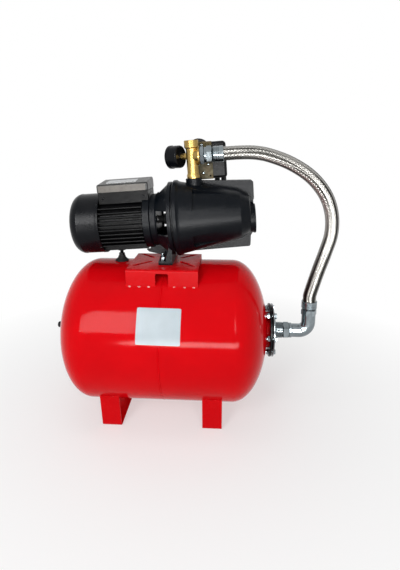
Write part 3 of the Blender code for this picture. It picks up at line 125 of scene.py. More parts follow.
class Board:
    def __init__(self, tree):
        self.tree = tree

    def feed(self, socket, value):
        if isinstance(value, Wire):
            self.tree.links.new(value.socket, socket)
        elif isinstance(value, tuple):  # a colour
            socket.default_value = (*value, 1)
        else:
            socket.default_value = value

    def node(self, kind, settings, inputs, output=0):
        made = self.tree.nodes.new(kind)
        for key, value in settings.items():
            setattr(made, key, value)
        for key, value in inputs.items():
            self.feed(made.inputs[key], value)
        return Wire(self, made.outputs[output])

    def maths(self, operation, first, second=0.0, clamp=False):
        settings = {"operation": operation, "use_clamp": clamp}
        return self.node("ShaderNodeMath", settings, {0: first, 1: second})

    def place(self):
        return self.node("ShaderNodeTexCoord", {}, {}, "Object")

    def noise(self, scale, detail=3.0, roughness=0.5, place=None):
        return self.node("ShaderNodeTexNoise", {}, {"Vector": place or self.place(), "Scale": scale,
                                                    "Detail": detail, "Roughness": roughness})

    def spread(self, value, low, high, toLow=0.0, toHigh=1.0):
        return self.node("ShaderNodeMapRange", {}, {"Value": value, "From Min": low, "From Max": high,
                                                    "To Min": toLow, "To Max": toHigh})

    def patches(self, noise, limits):
        return self.spread(self.noise(*noise), *limits)

    def mix(self, share, first, second):
        return self.node("ShaderNodeMix", {"data_type": "RGBA"}, {0: share, 6: first, 7: second}, 2)

    def onCamera(self):
        seen = [self.node("ShaderNodeLightPath", {}, {}, ray)
                for ray in ("Is Camera Ray", "Is Glossy Ray", "Is Transmission Ray")]
        return self.maths("ADD", seen[0] + seen[1], seen[2], True)


class Finish(Board):
    def __init__(self, name, slot, color, roughness, metallic=0.0):
        self.material = bpy.data.materials.new(name)
        self.material.use_nodes = True
        super().__init__(self.material.node_tree)
        self.shader = self.tree.nodes["Principled BSDF"]
        self.slot = slot
        self.set("Base Color", color)
        self.set("Roughness", roughness)
        self.set("Metallic", metallic)

    def set(self, name, value):
        self.feed(self.shader.inputs[name], value)

    def bump(self, height, depth, strength):
        self.set("Normal", self.node("ShaderNodeBump", {}, {"Height": height, "Distance": depth,
                                                            "Strength": strength}))


# Finishes: clouds of a second colour, a gloss that varies and a grain of one or more noises.
# A noise is (scale, detail, roughness), with its gain first in a grain; limits are (from, from, to, to)
redPaint = {"slot": "red_enamel", "color": (0.64, 0.002, 0.005), "second": (0.44, 0.001, 0.003),
            "clouds": ((9, 4, 0.6), (0.35, 0.75, 0.0, 0.35)), "grain": ((0.7, 420, 2), (0.9, 55, 2)),
            "depth": 0.0002, "strength": 0.3}
lidPaint = {"slot": "grey_lid", "clouds": ((30, 5, 0.7), (0.4, 0.85)), "depth": 0.0002, "strength": 0.5,
            "gloss": ((120, 4), (0.3, 0.7, 0.26, 0.42)), "grain": ((1, 1300, 2),)}


def metal(name, slot, color, second, roughness, scale=60, grain=700, depth=0.0001, metallic=1.0):
    return {"name": name, "slot": slot, "color": color, "second": second, "metallic": metallic,
            "specular": 0.15, "clouds": ((scale, 5, 0.65), (0.35, 0.7)),
            "gloss": ((scale * 3, 4), (0.3, 0.7, roughness * 0.75, roughness * 1.35)),
            "grain": ((1, grain, 3),), "depth": depth, "strength": 0.25}


def paleEnamel(name, slot, color, second, roughness):
    return {"name": name, "slot": slot, "color": color, "second": second, "specular": 0.1,
            "clouds": ((40, 5), (0.35, 0.8, 0, 0.5)),
            "gloss": ((120, 4), (0.3, 0.7, roughness * 0.8, roughness * 1.25)),
            "grain": ((1, 300, 2),), "depth": 0.0001, "strength": 0.4}


finishSets = {
    "red": {**redPaint, "name": "redEnamel", "specular": 0.037,
            "gloss": ((30, 5, 0.65), (0.35, 0.8, 0.05, 0.15))},
    "sheetRed": {**redPaint, "name": "redSheet", "specular": 0.04,
                 "gloss": ((30, 5, 0.65), (0.35, 0.8, 0.22, 0.36))},
    "cast": {"name": "blackCast", "slot": "black_cast", "color": (0.0018, 0.003, 0.005),
             "second": (0.005, 0.006, 0.008), "specular": 0.095, "clouds": ((45, 5, 0.7), (0.42, 0.8)),
             "gloss": ((1100, 3, 0.6), (0.3, 0.7, 0.25, 0.38)), "grain": ((0.6, 1100, 3, 0.6), (0.8, 260, 3)),
             "depth": 0.0006, "strength": 0.55},
    "alloy": {"name": "blackAlloy", "slot": "black_alloy", "color": (0.002, 0.002, 0.0025),
              "second": (0.006, 0.0055, 0.005), "specular": 0.07, "clouds": ((38, 6, 0.7), (0.5, 0.85)),
              "gloss": ((150, 4), (0.3, 0.7, 0.27, 0.44)), "grain": ((1, 700, 3),),
              "depth": 0.0004, "strength": 0.4},
    "sheet": {"name": "blackSheet", "slot": "black_sheet", "color": (0.002, 0.0025, 0.004),
              "second": (0.006, 0.006, 0.007), "specular": 0.12, "clouds": ((24, 5), (0.5, 0.9)),
              "gloss": ((60, 4), (0.3, 0.75, 0.25, 0.33)), "grain": ((1, 500, 2), (0.6, 30, 2)),
              "depth": 0.0003, "strength": 0.35},
    "plastic": {"name": "blackPlastic", "slot": "black_plastic", "color": (0.003, 0.003, 0.004),
                "specular": 0.14, "gloss": ((90, 5), (0.3, 0.75, 0.33, 0.5)), "grain": ((1, 1500, 2),),
                "depth": 0.0002, "strength": 0.5},
    # painted light and shade: one grey lid paint in two copies, a dark one for the lid and a pale one for the
    # band on its front face, so the front reads lit and the top shaded
    "lid": {**lidPaint, "name": "greyLid", "color": (0.016, 0.016, 0.016), "second": (0.05, 0.048, 0.045),
            "specular": 0.25},
    "band": {**lidPaint, "name": "paintedLitLidFront", "color": (0.13, 0.118, 0.104), "second": (0.22, 0.20, 0.175),
             "specular": 0.2},
    "rubber": {"name": "rubber", "slot": "rubber", "color": (0.008, 0.008, 0.008),
               "second": (0.022, 0.021, 0.020), "specular": 0.2, "clouds": ((55, 5), (0.45, 0.85)),
               "gloss": ((200, 3), (0.3, 0.7, 0.6, 0.82)), "grain": ((1, 900, 3),),
               "depth": 0.0003, "strength": 0.5},
    "weld": {"name": "weldBead", "slot": "red_enamel", "color": (0.55, 0.02, 0.03),
             "second": (0.80, 0.62, 0.60), "roughness": 0.28, "clouds": ((260, 3), (0.45, 0.62)),
             "grain": ((1, 600, 3),), "depth": 0.0005, "strength": 0.6},
    "zinc": metal("brightZinc", "zinc", (0.25, 0.285, 0.30), (0.18, 0.205, 0.22), 0.18, 50, 500, 0.00004),
    "yellow": metal("yellowZinc", "yellow_zinc", (0.085, 0.055, 0.016), (0.04, 0.042, 0.014), 0.42, 45, 500,
                    0.0001, 0.1),
    "brass": metal("castBrass", "brass", (0.36, 0.25, 0.085), (0.29, 0.19, 0.06), 0.32, 30, 480, 0.00006),
    "steel": metal("groundSteel", "steel", (0.52, 0.52, 0.52), (0.38, 0.38, 0.39), 0.3),
    "iron": metal("stackedIron", "iron", (0.22, 0.22, 0.23), (0.14, 0.14, 0.14), 0.5),
    "plate": metal("silverPlate", "grey_lid", (0.42, 0.43, 0.44), (0.34, 0.35, 0.36), 0.32, 40, 900),
    "white": paleEnamel("whitePlastic", "white", (0.78, 0.78, 0.76), (0.6708, 0.6708, 0.6536), 0.35),
    "label": paleEnamel("bareLabel", "red_enamel", (0.50, 0.57, 0.61), (0.43, 0.4902, 0.5246), 0.22),
}


def grained(s):
    made = Finish(s["name"], s["slot"], s["color"], s.get("roughness", 0.35), s.get("metallic", 0.0))
    if "specular" in s:
        made.set("Specular IOR Level", s["specular"])
    if "clouds" in s:
        made.set("Base Color", made.mix(made.patches(*s["clouds"]), s["color"], s["second"]))
    if "gloss" in s:
        made.set("Roughness", made.patches(*s["gloss"]))
    layers = [made.noise(*noise) * gain for gain, *noise in s["grain"]]
    made.bump(sum(layers[1:], layers[0]), s["depth"], s["strength"])
    return made


# Steel braid: two sets of wire bundles that pass over and under each other
# painted light and shade: bright and dull are the two sides of painted lengthwise streaks, and gap is painted
# shade between strands
braidSet = {"carriers": 16, "wires": 5, "slant": 0.8, "depth": 0.5, "bright": (0.40, 0.39, 0.365),
            "dull": (0.025, 0.024, 0.022), "gap": (0.006, 0.006, 0.005)}


def braid(s):
    made = Finish("steelBraid", "braid", s["bright"], 0.3, 1.0)
    grid = made.node("ShaderNodeUVMap", {"uv_map": "around"}, {})
    around, along = (made.node("ShaderNodeSeparateXYZ", {}, {0: grid}, axis) for axis in (0, 1))
    left = (around + along * s["slant"]) * s["carriers"]
    right = (around - along * s["slant"]) * s["carriers"]

    def strand(phase):
        share = made.maths("FRACT", phase)
        crown = made.maths("SINE", share * math.pi)
        wires = made.maths("ABSOLUTE", made.maths("SINE", share * (math.pi * s["wires"])))
        return crown * 0.6 + wires * 0.4

    parity = made.maths("FRACT", (made.maths("FLOOR", left) + made.maths("FLOOR", right)) * 0.5) * 2.0
    height = strand(left) * parity + strand(right) * (1 - parity)
    # painted shade: the base colour darkens to the gap colour where the strands dip low between one another
    shade = made.spread(height, 0.12, 0.62)
    run = made.node("ShaderNodeCombineXYZ", {}, {0: around * 13.0, 1: along * 0.25, 2: 0.0})
    paintedStreaks = made.spread(made.noise(1.0, 2, 0.5, run), 0.44, 0.56)  # painted light and shade: lengthwise streaks of brighter and duller wire stand in for reflections along the run
    made.set("Base Color", made.mix(shade, s["gap"], made.mix(paintedStreaks, s["dull"], s["bright"])))
    made.set("Roughness", made.spread(height, 0.0, 1.0, 0.42, 0.24))
    made.bump(height, 0.0004, 0.7)
    return made


def clearWindow():
    made = Finish("clearWindow", "clear", (0.9, 0.94, 0.94), 0.03)
    made.set("Alpha", made.patches((60, 4), (0.3, 0.8, 0.14, 0.2)))
    return made


finishes = {key: grained(s) for key, s in finishSets.items()}
finishes["braid"] = braid(braidSet)
finishes["clear"] = clearWindow()
finishes["ink"] = Finish("dialInk", "black_sheet", (0.02, 0.02, 0.02), 0.5)
print("finishes ready:", len(finishes))


# Mesh helpers
def newPiece(name, build, place=Matrix.Identity(4)):
    data = bpy.data.meshes.new(name)
    work = bmesh.new()
    build(work)
    bmesh.ops.recalc_face_normals(work, faces=work.faces)
    work.to_mesh(data)
    work.free()
    return addObject(name, data, place)


def ring(work, spots):
    made = []
    for i, (radius, height) in enumerate(spots):
        angle = 2 * math.pi * i / len(spots)
        reach = radius * mm
        made.append(work.verts.new((reach * math.cos(angle), reach * math.sin(angle), height * mm)))
    return made


def skin(work, rings):
    faces = []
    for one, two in zip(rings, rings[1:]):
        count = max(len(one), len(two))
        for i in range(count):
            j = (i + 1) % count
            corners = [one[i % len(one)], one[j % len(one)], two[j % len(two)], two[i % len(two)]]
            corners = [c for k, c in enumerate(corners) if c not in corners[:k]]
            if len(corners) > 2:
                faces.append(work.faces.new(corners))
    return faces


def tubeRing(work, line, i, radii):
    ahead = (line[min(i + 1, len(line) - 1)] - line[max(i - 1, 0)]).normalized()
    side = Vector((0, 1, 0))
    out = side.cross(ahead)
    made = []
    for k, radius in enumerate(radii):
        angle = 2 * math.pi * k / len(radii)
        made.append(work.verts.new(line[i] + radius * (side * math.cos(angle) + out * math.sin(angle))))
    return made


def lathe(name, profile, place, sides=96, closed=False):
    def build(work):
        rings = [ring(work, [point] * (sides if point[0] > 0.0001 else 1)) for point in profile]
        skin(work, rings + rings[:1] if closed else rings)
    return newPiece(name, build, place)


def rod(radius, low, high, edge=0.0):
    if not edge:
        return [(0, low), (radius, low), (radius, high), (0, high)]
    return [(0, low), (radius - edge, low), (radius, low + edge), (radius, high - edge),
            (radius - edge, high), (0, high)]


def thread(crest, root, start, pitch, turns):
    return [(r, start + (i + half) * pitch) for i in range(turns) for r, half in ((crest, 0), (root, 0.5))]


def hexagon(name, radius, low, high, place, bore=0.0, count=48):
    flat = radius * math.cos(math.pi / 6)
    rim = flat * 0.94  # the corners are chamfered outside this radius

    def build(work):
        lower, upper = [], []
        for i in range(count):
            reach = flat / math.cos((2 * math.pi * i / count) % (math.pi / 3) - math.pi / 6)
            drop = max(0.0, reach - rim) * 0.55
            lower.append((reach, low + drop))
            upper.append((reach, high - drop))
        rings = [ring(work, spots) for spots in ([(rim, low)] * count, lower, upper, [(rim, high)] * count)]
        skin(work, rings)
        if bore:
            holes = [ring(work, [(bore, height)] * count) for height in (low, high)]
            skin(work, [rings[0], *holes, rings[-1]])
        else:
            work.faces.new(rings[0])
            work.faces.new(rings[-1])
    return newPiece(name, build, place)


def addBlock(work, low, high):
    low, high = Vector(low) * mm, Vector(high) * mm
    matrix = Matrix.Translation((low + high) / 2) @ Matrix.Diagonal((*(high - low), 1))
    bmesh.ops.create_cube(work, size=1, matrix=matrix)


def block(name, low, high, place):
    return newPiece(name, lambda work: addBlock(work, low, high), place)


def slab(name, outline, depth, place):
    def build(work):
        face = work.faces.new([work.verts.new((x * mm, y * mm, 0)) for x, y in outline])
        grown = bmesh.ops.extrude_face_region(work, geom=[face])["geom"]
        moved = [g for g in grown if isinstance(g, bmesh.types.BMVert)]
        bmesh.ops.translate(work, verts=moved, vec=(0, 0, depth * mm))
    return newPiece(name, build, place)


def arc(centre, radius, start, end, count):
    angles = [math.radians(start + (end - start) * i / count) for i in range(count + 1)]
    return [(centre[0] + radius * math.cos(a), centre[1] + radius * math.sin(a)) for a in angles]


def settle(piece):
    bpy.context.view_layer.update()
    graph = bpy.context.evaluated_depsgraph_get()
    data = bpy.data.meshes.new_from_object(piece.evaluated_get(graph))
    piece.modifiers.clear()
    piece.data = data
    return piece


def combine(piece, tools, operation="UNION"):
    for tool in tools:
        step = piece.modifiers.new(operation, "BOOLEAN")
        step.operation = operation
        step.object = tool
    settle(piece)
    for tool in tools:
        bpy.data.objects.remove(tool, do_unlink=True)
    return piece


def soften(piece, width, segments=2, angle=32):
    step = piece.modifiers.new("softEdges", "BEVEL")
    step.width = width * mm
    step.segments = segments
    step.limit_method = "ANGLE"
    step.angle_limit = math.radians(angle)
    return settle(piece)


def gather(name, pieces):
    data = bpy.data.meshes.new(name)
    work = bmesh.new()
    for item in pieces:
        part = item.data.copy()
        part.transform(item.matrix_world)
        work.from_mesh(part)
    work.to_mesh(data)
    work.free()
    for item in pieces:
        bpy.data.objects.remove(item, do_unlink=True)
    return addObject(name, data)


def screw(place, radius):
    profile = [(0, 0.45), (0.45, 0.42), (0.8, 0.28), (1, 0), (1, -0.3), (0, -0.3)]
    head = lathe("head", [(r * radius, z * radius) for r, z in profile], place, 28)
    long, thin, deep = 0.55 * radius, 0.13 * radius, 0.15 * radius
    bars = [block("bar", (-x, -y, deep), (x, y, radius), place) for x, y in ((long, thin), (thin, long))]
    return combine(head, bars, "DIFFERENCE")


def seat(piece, finish, *replaced, body="set", sharp=32):
    piece.data.materials.clear()
    piece.data.materials.append(finishes[finish].material)
    piece.data.shade_smooth()
    piece.data.set_sharp_from_angle(angle=math.radians(sharp))
    flat = piece.modifiers.new("flatFaces", "WEIGHTED_NORMAL")
    flat.keep_sharp = True
    settle(piece)
    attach(piece, body)
    if replaced:
        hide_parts(*replaced)
    return piece


def dressNode(node, finish, width, segments=2):
    def build(work):
        work.from_mesh(nodes[node].data)
        bmesh.ops.remove_doubles(work, verts=work.verts, dist=0.00001)
        bmesh.ops.dissolve_limit(work, angle_limit=math.radians(0.6), verts=work.verts, edges=work.edges)
    piece = soften(newPiece(node + "Skin", build), width, segments)
    return seat(piece, finish, node, body=bodyOf[node], sharp=34)


# Nodes that no piece replaces keep their own mesh and get a finish
nodeFinishes = {
    "cast": ["seal_plate"],
    "plastic": ["ejector"],
    "rubber": ["bladder", "mechanical_seal"],
    "brass": ["impeller"],
    "steel": ["bearing_front", "bearing_rear", "switch_spring_main", "switch_spring_difference"],
    "white": ["capacitor", "terminal_block", "switch_contacts"],
    "iron": ["rotor_core", "stator"],
}
for finishName, members in nodeFinishes.items():
    for member in members:
        nodes[member].data.materials.clear()
        nodes[member].data.materials.append(finishes[finishName].material)
print("nodes painted:", sum(len(members) for members in nodeFinishes.values()))


# Braided hose: its route repeats the model's, one smooth line from fitting to fitting
hoseSet = {"radius": 17.0, "start": 125.0, "lead": 155.0, "portV": 152.0, "endX": 378.0, "endZ": 312.0,
           "tail": 14.0, "rows": 480, "sides": 96,
           "middle": [(225, 690.5), (265, 683), (317, 663), (366, 631), (402, 588), (420, 540), (422, 490),
                      (410, 441), (397, 398), (387, 362)]}


def smoothLine(points, count, steps=24):
    dense = [points[0]]
    for i in range(len(points) - 3):
        a, b, c, d = points[i:i + 4]
        for j in range(steps):
            t = j / steps
            dense.append(0.5 * (2 * b + (c - a) * t + (2 * a - 5 * b + 4 * c - d) * t ** 2
                                + (3 * b - a - 3 * c + d) * t ** 3))
    dense += [points[-2], points[-1]]
    lengths = [0.0]
    for before, after in zip(dense, dense[1:]):
        lengths.append(lengths[-1] + (after - before).length)
    picked, index = [], 0
    for i in range(count + 1):
        goal = lengths[-1] * i / count
        while index < len(dense) - 2 and lengths[index + 1] < goal:
            index += 1
        span = max(lengths[index + 1] - lengths[index], 1e-9)
        picked.append(dense[index].lerp(dense[index + 1], (goal - lengths[index]) / span))
    return picked, lengths[-1]


def hoseLine(s):
    points = [pump @ Vector((x * mm, 0, s["portV"] * mm)) for x in (s["start"], s["lead"])]
    low = [*s["middle"], (s["endX"], s["endZ"] + s["tail"]), (s["endX"], s["endZ"])]
    points += [Vector(((layout["tankX"] + x) * mm, 0, z * mm)) for x, z in low]
    return smoothLine(points, s["rows"])


def strandHeight(around, along, s):
    left = (around + along * s["slant"]) * s["carriers"]
    right = (around - along * s["slant"]) * s["carriers"]
    over = left if (math.floor(left) + math.floor(right)) % 2 else right
    return (math.sin(math.pi * (over - math.floor(over))) - 1) * s["depth"] * mm


def makeHose(s):
    line, length = hoseLine(s)
    radius, sides = s["radius"] * mm, s["sides"]
    around = 2 * math.pi * radius
    runs = [0.0]
    for before, after in zip(line, line[1:]):
        runs.append(runs[-1] + (after - before).length)

    def build(work):
        sheet = work.loops.layers.uv.new("around")
        rings = [tubeRing(work, line, i, [radius + strandHeight(k / sides, run / around, braidSet)
                                          for k in range(sides)]) for i, run in enumerate(runs)]
        for index, face in enumerate(skin(work, rings)):
            i, k = divmod(index, sides)
            for loop, (u, v) in zip(face.loops, ((k, i), (k + 1, i), (k + 1, i + 1), (k, i + 1))):
                loop[sheet].uv = (u / sides, runs[v] / around)
        work.faces.new(rings[0])
        work.faces.new(rings[-1])
    return seat(newPiece("braidedHose", build), "braid", "hose", sharp=60), line, length


# Crimped ferrules at both ends of the hose
ferruleSet = {"outer": 20.0, "inner": 17.0, "length": 22.0, "topLength": 27.8, "start": 96.9, "low": 289.7,
              "rings": (5.5, 10.5, 15.5), "crimp": 0.9}


def makeFerrule(name, node, place, length, s):
    outer, inner, waist = s["outer"], s["inner"], s["outer"] - s["crimp"]
    profile = [(0, 0), (outer - 4, 0), (outer - 3, 0.6), (outer - 0.6, 3), (outer, 3.6)]
    for z in s["rings"]:
        profile += [(outer, z - 1.2), (waist, z - 0.5), (waist, z + 0.5), (outer, z + 1.2)]
    profile += [(outer, length - 1), (outer - 0.8, length), (inner + 0.2, length), (inner, length - 1.5),
                (0, length - 1.5)]
    return seat(lathe(name, profile, place), "zinc", node)


hose, hosePoints, hoseLength = makeHose(hoseSet)
ferruleTop = makeFerrule("ferruleTop", "ferrule_top",
                         pump @ spot(0, 0, hoseSet["portV"]) @ alongX @ spot(0, 0, ferruleSet["start"]),
                         ferruleSet["topLength"], ferruleSet)
ferruleBottom = makeFerrule("ferruleBottom", "ferrule_bottom",
                            spot(layout["tankX"] + hoseSet["endX"], 0, ferruleSet["low"]),
                            ferruleSet["length"], ferruleSet)
print("hose length", round(hoseLength, 3))


# Tank: two drawn halves with a welded girth seam
tankSet = {"radius": 185.0, "half": 270.0, "dome": 92.5, "neck": 47.0, "neckEnd": 279.0, "valve": 5.3,
           "seamX": 6.5, "bead": 1.6, "proud": 0.45, "groove": 0.6}


def makeTank(s):
    radius, half, neck, end, valve = s["radius"], s["half"], s["neck"], s["neckEnd"], s["valve"]

    def dome(edge, sign, steps=30):
        angles = [math.acos(edge / radius) * i / steps for i in range(steps + 1)]
        return [(radius * math.cos(a), sign * (half - s["dome"] + s["dome"] * math.sin(a))) for a in angles]
    bead, deep, proud = s["bead"], radius - s["groove"], radius + s["proud"]
    seam = [(radius, bead + 1.2), (deep, bead + 0.6), (deep, bead), (proud, bead * 0.5), (proud, -bead * 0.5),
            (deep, -bead), (deep, -bead - 0.6), (radius, -bead - 1.2)]
    profile = [(neck - 3, end), (neck, end), (neck, end - 3)] + dome(neck, 1)[::-1]
    profile += [(r, s["seamX"] + x) for r, x in seam] + dome(valve, -1)
    profile += [(valve, 6 - half), (neck - 8, 40 - half), (neck - 3, 40 - half)]  # back along the inside
    seat(lathe("tankBody", profile, tankLine, 160, True), "red", "tank_shell", sharp=28)


makeTank(tankSet)

# Bare label place on the tank's front, where the photograph shows a printed plate
labelSet = {"wide": 103.0, "high": 85.0, "x": 5.6, "angle": 24.0, "lean": -0.6, "thick": 0.7, "lift": 0.1,
            "corner": 2.5, "cells": 24}


def makeLabel(s):
    lean, corner, cells = math.radians(s["lean"]), s["corner"], s["cells"]
    halfX, halfY = s["wide"] / 2 - corner, s["high"] / 2 - corner

    def onTank(layer, i, j):
        x, y = (i / cells - 0.5) * s["wide"], (j / cells - 0.5) * s["high"]
        overX, overY = abs(x) - halfX, abs(y) - halfY
        if overX > 0 and overY > 0:
            scale = corner / max(math.hypot(overX, overY), corner)
            x = math.copysign(halfX + overX * scale, x)
            y = math.copysign(halfY + overY * scale, y)
        x, y = x * math.cos(lean) - y * math.sin(lean), x * math.sin(lean) + y * math.cos(lean)
        angle = math.radians(s["angle"]) + y / tankSet["radius"]
        reach = (tankSet["radius"] + s["lift"] + s["thick"] * layer) * mm
        return (s["x"] + x) * mm, -reach * math.cos(angle), reach * math.sin(angle)

    def build(work):
        steps = range(cells + 1)
        keys = [(layer, i, j) for layer in (0, 1) for i in steps for j in steps]
        grid = {key: work.verts.new(onTank(*key)) for key in keys}
        for layer in (0, 1):
            for i in range(cells):
                for j in range(cells):
                    around = ((i, j), (i + 1, j), (i + 1, j + 1), (i, j + 1))
                    work.faces.new([grid[layer, a, b] for a, b in around])
        edge = ([(i, 0) for i in range(cells)] + [(cells, j) for j in range(cells)]
                + [(i, cells) for i in range(cells, 0, -1)] + [(0, j) for j in range(cells, 0, -1)])
        skin(work, [[grid[(layer, *place)] for place in edge] for layer in (0, 1)])
    seat(newPiece("bareTankLabel", build, tank), "label", sharp=40)


makeLabel(labelSet)

# Flange end: black ring on the neck, dished counter flange, bolts and nuts
flangeSet = {"ringLow": 274.0, "ringHigh": 279.0, "radius": 70.0, "opening": 47.3, "plateLow": 282.0,
             "plateHigh": 285.0, "dish": 6.0, "stub": 21.0, "stubLength": 20.0, "bore": 14.0, "threads": 7,
             "pitch": 2.3, "circle": 57.5, "bolts": 6, "hexagon": 7.5, "bolt": 4.0}


def makeFlange(s):
    radius, opening, low, high = s["radius"], s["opening"], s["ringLow"], s["ringHigh"]
    profile = [(opening, low), (radius - 0.8, low), (radius, low + 0.8), (radius, high - 0.8),
               (radius - 0.8, high), (opening, high)]
    seat(lathe("neckRing", profile, tankLine, 96, True), "sheet", "neck_flange")
    stub, bore, dish, under, over = s["stub"], s["bore"], s["dish"], s["plateLow"], s["plateHigh"]
    top = over + dish
    end = top + s["stubLength"]
    profile = [(bore, end), (stub - 1.2, end)]
    for i in range(s["threads"]):
        z = end - 1.4 - i * s["pitch"]
        profile += [(stub, z), (stub, z - 0.5), (stub - 1.1, z - 1.15), (stub - 1.1, z - 1.4)]
    profile += [(stub, top + 1.6), (stub + 1.2, top), (38, top), (40.5, top - 1.2), (45.5, over + 0.8),
                (48, over), (radius - 0.7, over), (radius, over - 0.7), (radius, under + 0.6),
                (radius - 0.6, under), (45, under), (37, under + dish), (bore, under + dish)]
    seat(lathe("dishedFlange", profile, tankLine, 96, True), "zinc", "counter_flange")
    face = over + 0.3
    for i in range(s["bolts"]):
        place = tankLine @ turn(90 + 360 / s["bolts"] * i) @ spot(s["circle"], 0, 0)
        shapes = [hexagon("head", s["hexagon"], face + 1.2, face + 6.4, place @ turn(7 * i)),
                  lathe("washer", rod(9.0, face, face + 1.3, 0.3), place, 32),
                  hexagon("nut", s["hexagon"], low - 6.0, low - 0.4, place @ turn(11 * i)),
                  lathe("end", rod(s["bolt"], low - 9, face, 0.5), place, 24)]
        seat(gather("flangeBolt%d" % (i + 1), shapes), "zinc", "flange_bolt_%d" % (i + 1))


makeFlange(flangeSet)

# Union nut, elbow and its collar under the hose
elbowSet = {"nutLow": 311.6, "nut": 23.0, "nutBore": 14.0, "length": 16.0, "leg": 18.0, "bore": 11.0,
            "bend": 24.0, "rise": 61.0, "collar": 20.0, "collarBore": 11.5, "sides": 48}


def makeElbow(s):
    end, bend, rise = hoseSet["endX"], s["bend"], s["rise"]
    high = s["nutLow"] + s["length"]
    nut = hexagon("unionNut", s["nut"], s["nutLow"], high, tankLine, s["nutBore"])
    seat(nut, "zinc", "elbow_nut", body="tank_union")
    start = high + 0.3
    corner = arc((end - bend, bend), bend, -84, 0, 14)
    line = [Vector((x * mm, 0, z * mm)) for x, z in [(start, 0), (end - bend, 0), *corner, (end, rise)]]

    def build(work):
        tubes = [[tubeRing(work, line, i, [radius * mm] * s["sides"]) for i in range(len(line))]
                 for radius in (s["leg"], s["bore"])]
        for rings in tubes:
            skin(work, rings)
        for end in (0, -1):
            skin(work, [rings[end] for rings in tubes])
    bead = [(17, start), (19.2, start), (19.6, start + 0.5), (19.6, start + 6), (18, start + 8),
            (17, start + 8)]
    shapes = [newPiece("elbowBody", build, tank), lathe("legBead", bead, tankLine, 64, True),
              hexagon("riseCollar", s["collar"], rise - 16, rise, tank @ spot(end, 0, 0), s["collarBore"])]
    seat(gather("hoseElbow", shapes), "zinc", "elbow")


makeElbow(elbowSet)

# Air valve in the left end: brass stem under a ribbed cap
valveSet = {"standoff": 12.0, "length": 17.0, "radius": 8.0, "bore": 4.6, "wall": 5.0, "ribs": 24, "rib": 0.5}


def makeValveCap(s):
    place = tank @ spot(-tankSet["half"], 0, 0) @ alongX.inverted()
    radius, low, high, count = s["radius"], s["standoff"], s["standoff"] + s["length"], s["ribs"] * 2
    profile = [(radius - 0.6, low), (radius, low + 0.8), (radius, high - 3), (radius - 0.8, high - 1),
               (radius - 2.2, high)]

    def build(work):
        rings = []
        for r, z in profile:
            rib = s["rib"] if low < z < high - 2 else 0.0
            rings.append(ring(work, [(r - rib * (k % 2), z) for k in range(count)]))
        skin(work, rings)
        work.faces.new(rings[-1])
        inner = [ring(work, [(s["bore"], z)] * count) for z in (low, high - s["wall"])]
        skin(work, [rings[0], *inner])
        work.faces.new(inner[1])
    seat(newPiece("valveCap", build, place), "plastic", "air_valve_cap", body="valve_cap")


makeValveCap(valveSet)
print("tank and its ends ready")

# Feet and console: bent sheet with soft edges and welds along the seams
sheetSet = {"edge": 0.7, "consoleEdge": 1.4, "weldFront": (-77.5, -55, -31.5, 31.5, 54.6, 77),
            "consoleX": 6.5, "consoleFront": 107.0, "bead": 3.4, "seed": 4, "footX": 129.0, "footY": 128.5,
            "weldFoot": (-16, -8, 0, 8, 16), "footBead": (4.6, 2.0, 1.6)}
dressNode("console", "sheetRed", sheetSet["consoleEdge"], 4)
dressNode("foot_left", "sheetRed", sheetSet["edge"])
dressNode("foot_right", "sheetRed", sheetSet["edge"])


def onShell(y, sign):
    z = sign * math.sqrt(tankSet["radius"] ** 2 - y * y)
    return z, Matrix.Rotation(-math.atan2(y, z), 4, "X")


def addBead(work, place, size):
    matrix = place @ Matrix.Diagonal((*size, 1))
    return bmesh.ops.create_uvsphere(work, u_segments=14, v_segments=8, radius=mm, matrix=matrix)["verts"]


def makeWelds(s):
    chance = random.Random(s["seed"])
    size, y = s["bead"], -s["consoleFront"] - 1.5

    def consoleBeads(work):
        z, steep = onShell(y, 1)
        for x in s["weldFront"]:
            place = spot(s["consoleX"] + x + chance.uniform(-1, 1), y * 1.001, z + 0.4) @ steep
            place = place @ turn(chance.uniform(-12, 12))
            for vertex in addBead(work, place, (size * chance.uniform(0.85, 1.2), size * 0.55, size * 0.4)):
                vertex.co += Vector([chance.uniform(-1, 1) for axis in range(3)]) * 0.12 * mm
    seat(newPiece("consoleWelds", consoleBeads, tank), "weld", sharp=70)
    for index, side in enumerate((-1, 1)):
        def footBeads(work, side=side):
            for y in (-s["footY"], s["footY"]):
                z, steep = onShell(y, -1)
                for x in s["weldFoot"]:
                    addBead(work, spot(side * s["footX"] + x, y * 1.004, z - 0.6) @ steep, s["footBead"])
        seat(newPiece("footWelds%d" % (index + 1), footBeads, tank), "red", sharp=70)


makeWelds(sheetSet)
print("feet and console ready")

# Pump casing: cone with rim, suction port, outlet boss, rear spine and two fading panels
casingSet = {"radius": 94.0, "length": 158.0, "endRadius": 60.0, "nose": 182.0, "noseRadius": 45.0,
             "rim": 96.0, "flange": 4.0, "port": 37.0, "portEnd": 195.0, "drop": 12.0, "bore": 16.5,
             "outletU": 47.0, "outlet": 20.0, "outletTop": 97.5, "outletBore": 12.5, "panelDepth": 7.0,
             "plugU": 150.0, "plugs": (58.0, -68.0), "plug": 15.0, "plugBore": 10.0, "edge": 0.9,
             "spine": (18.0, 38.0),
             "panels": (("upperPanel", 44, 124, 210, 250), ("lowerPanel", 41, 112, 294, 322)),
             "outline": [(38, -92), (178, -88), (181, -84), (183, -60), (193, -44), (193, 31), (195, 36),
                         (195, 77), (190, 82), (96, 87), (38, 91)]}


def coneRadius(u, s=casingSet):
    return s["radius"] + (s["endRadius"] - s["radius"]) * u / s["length"]


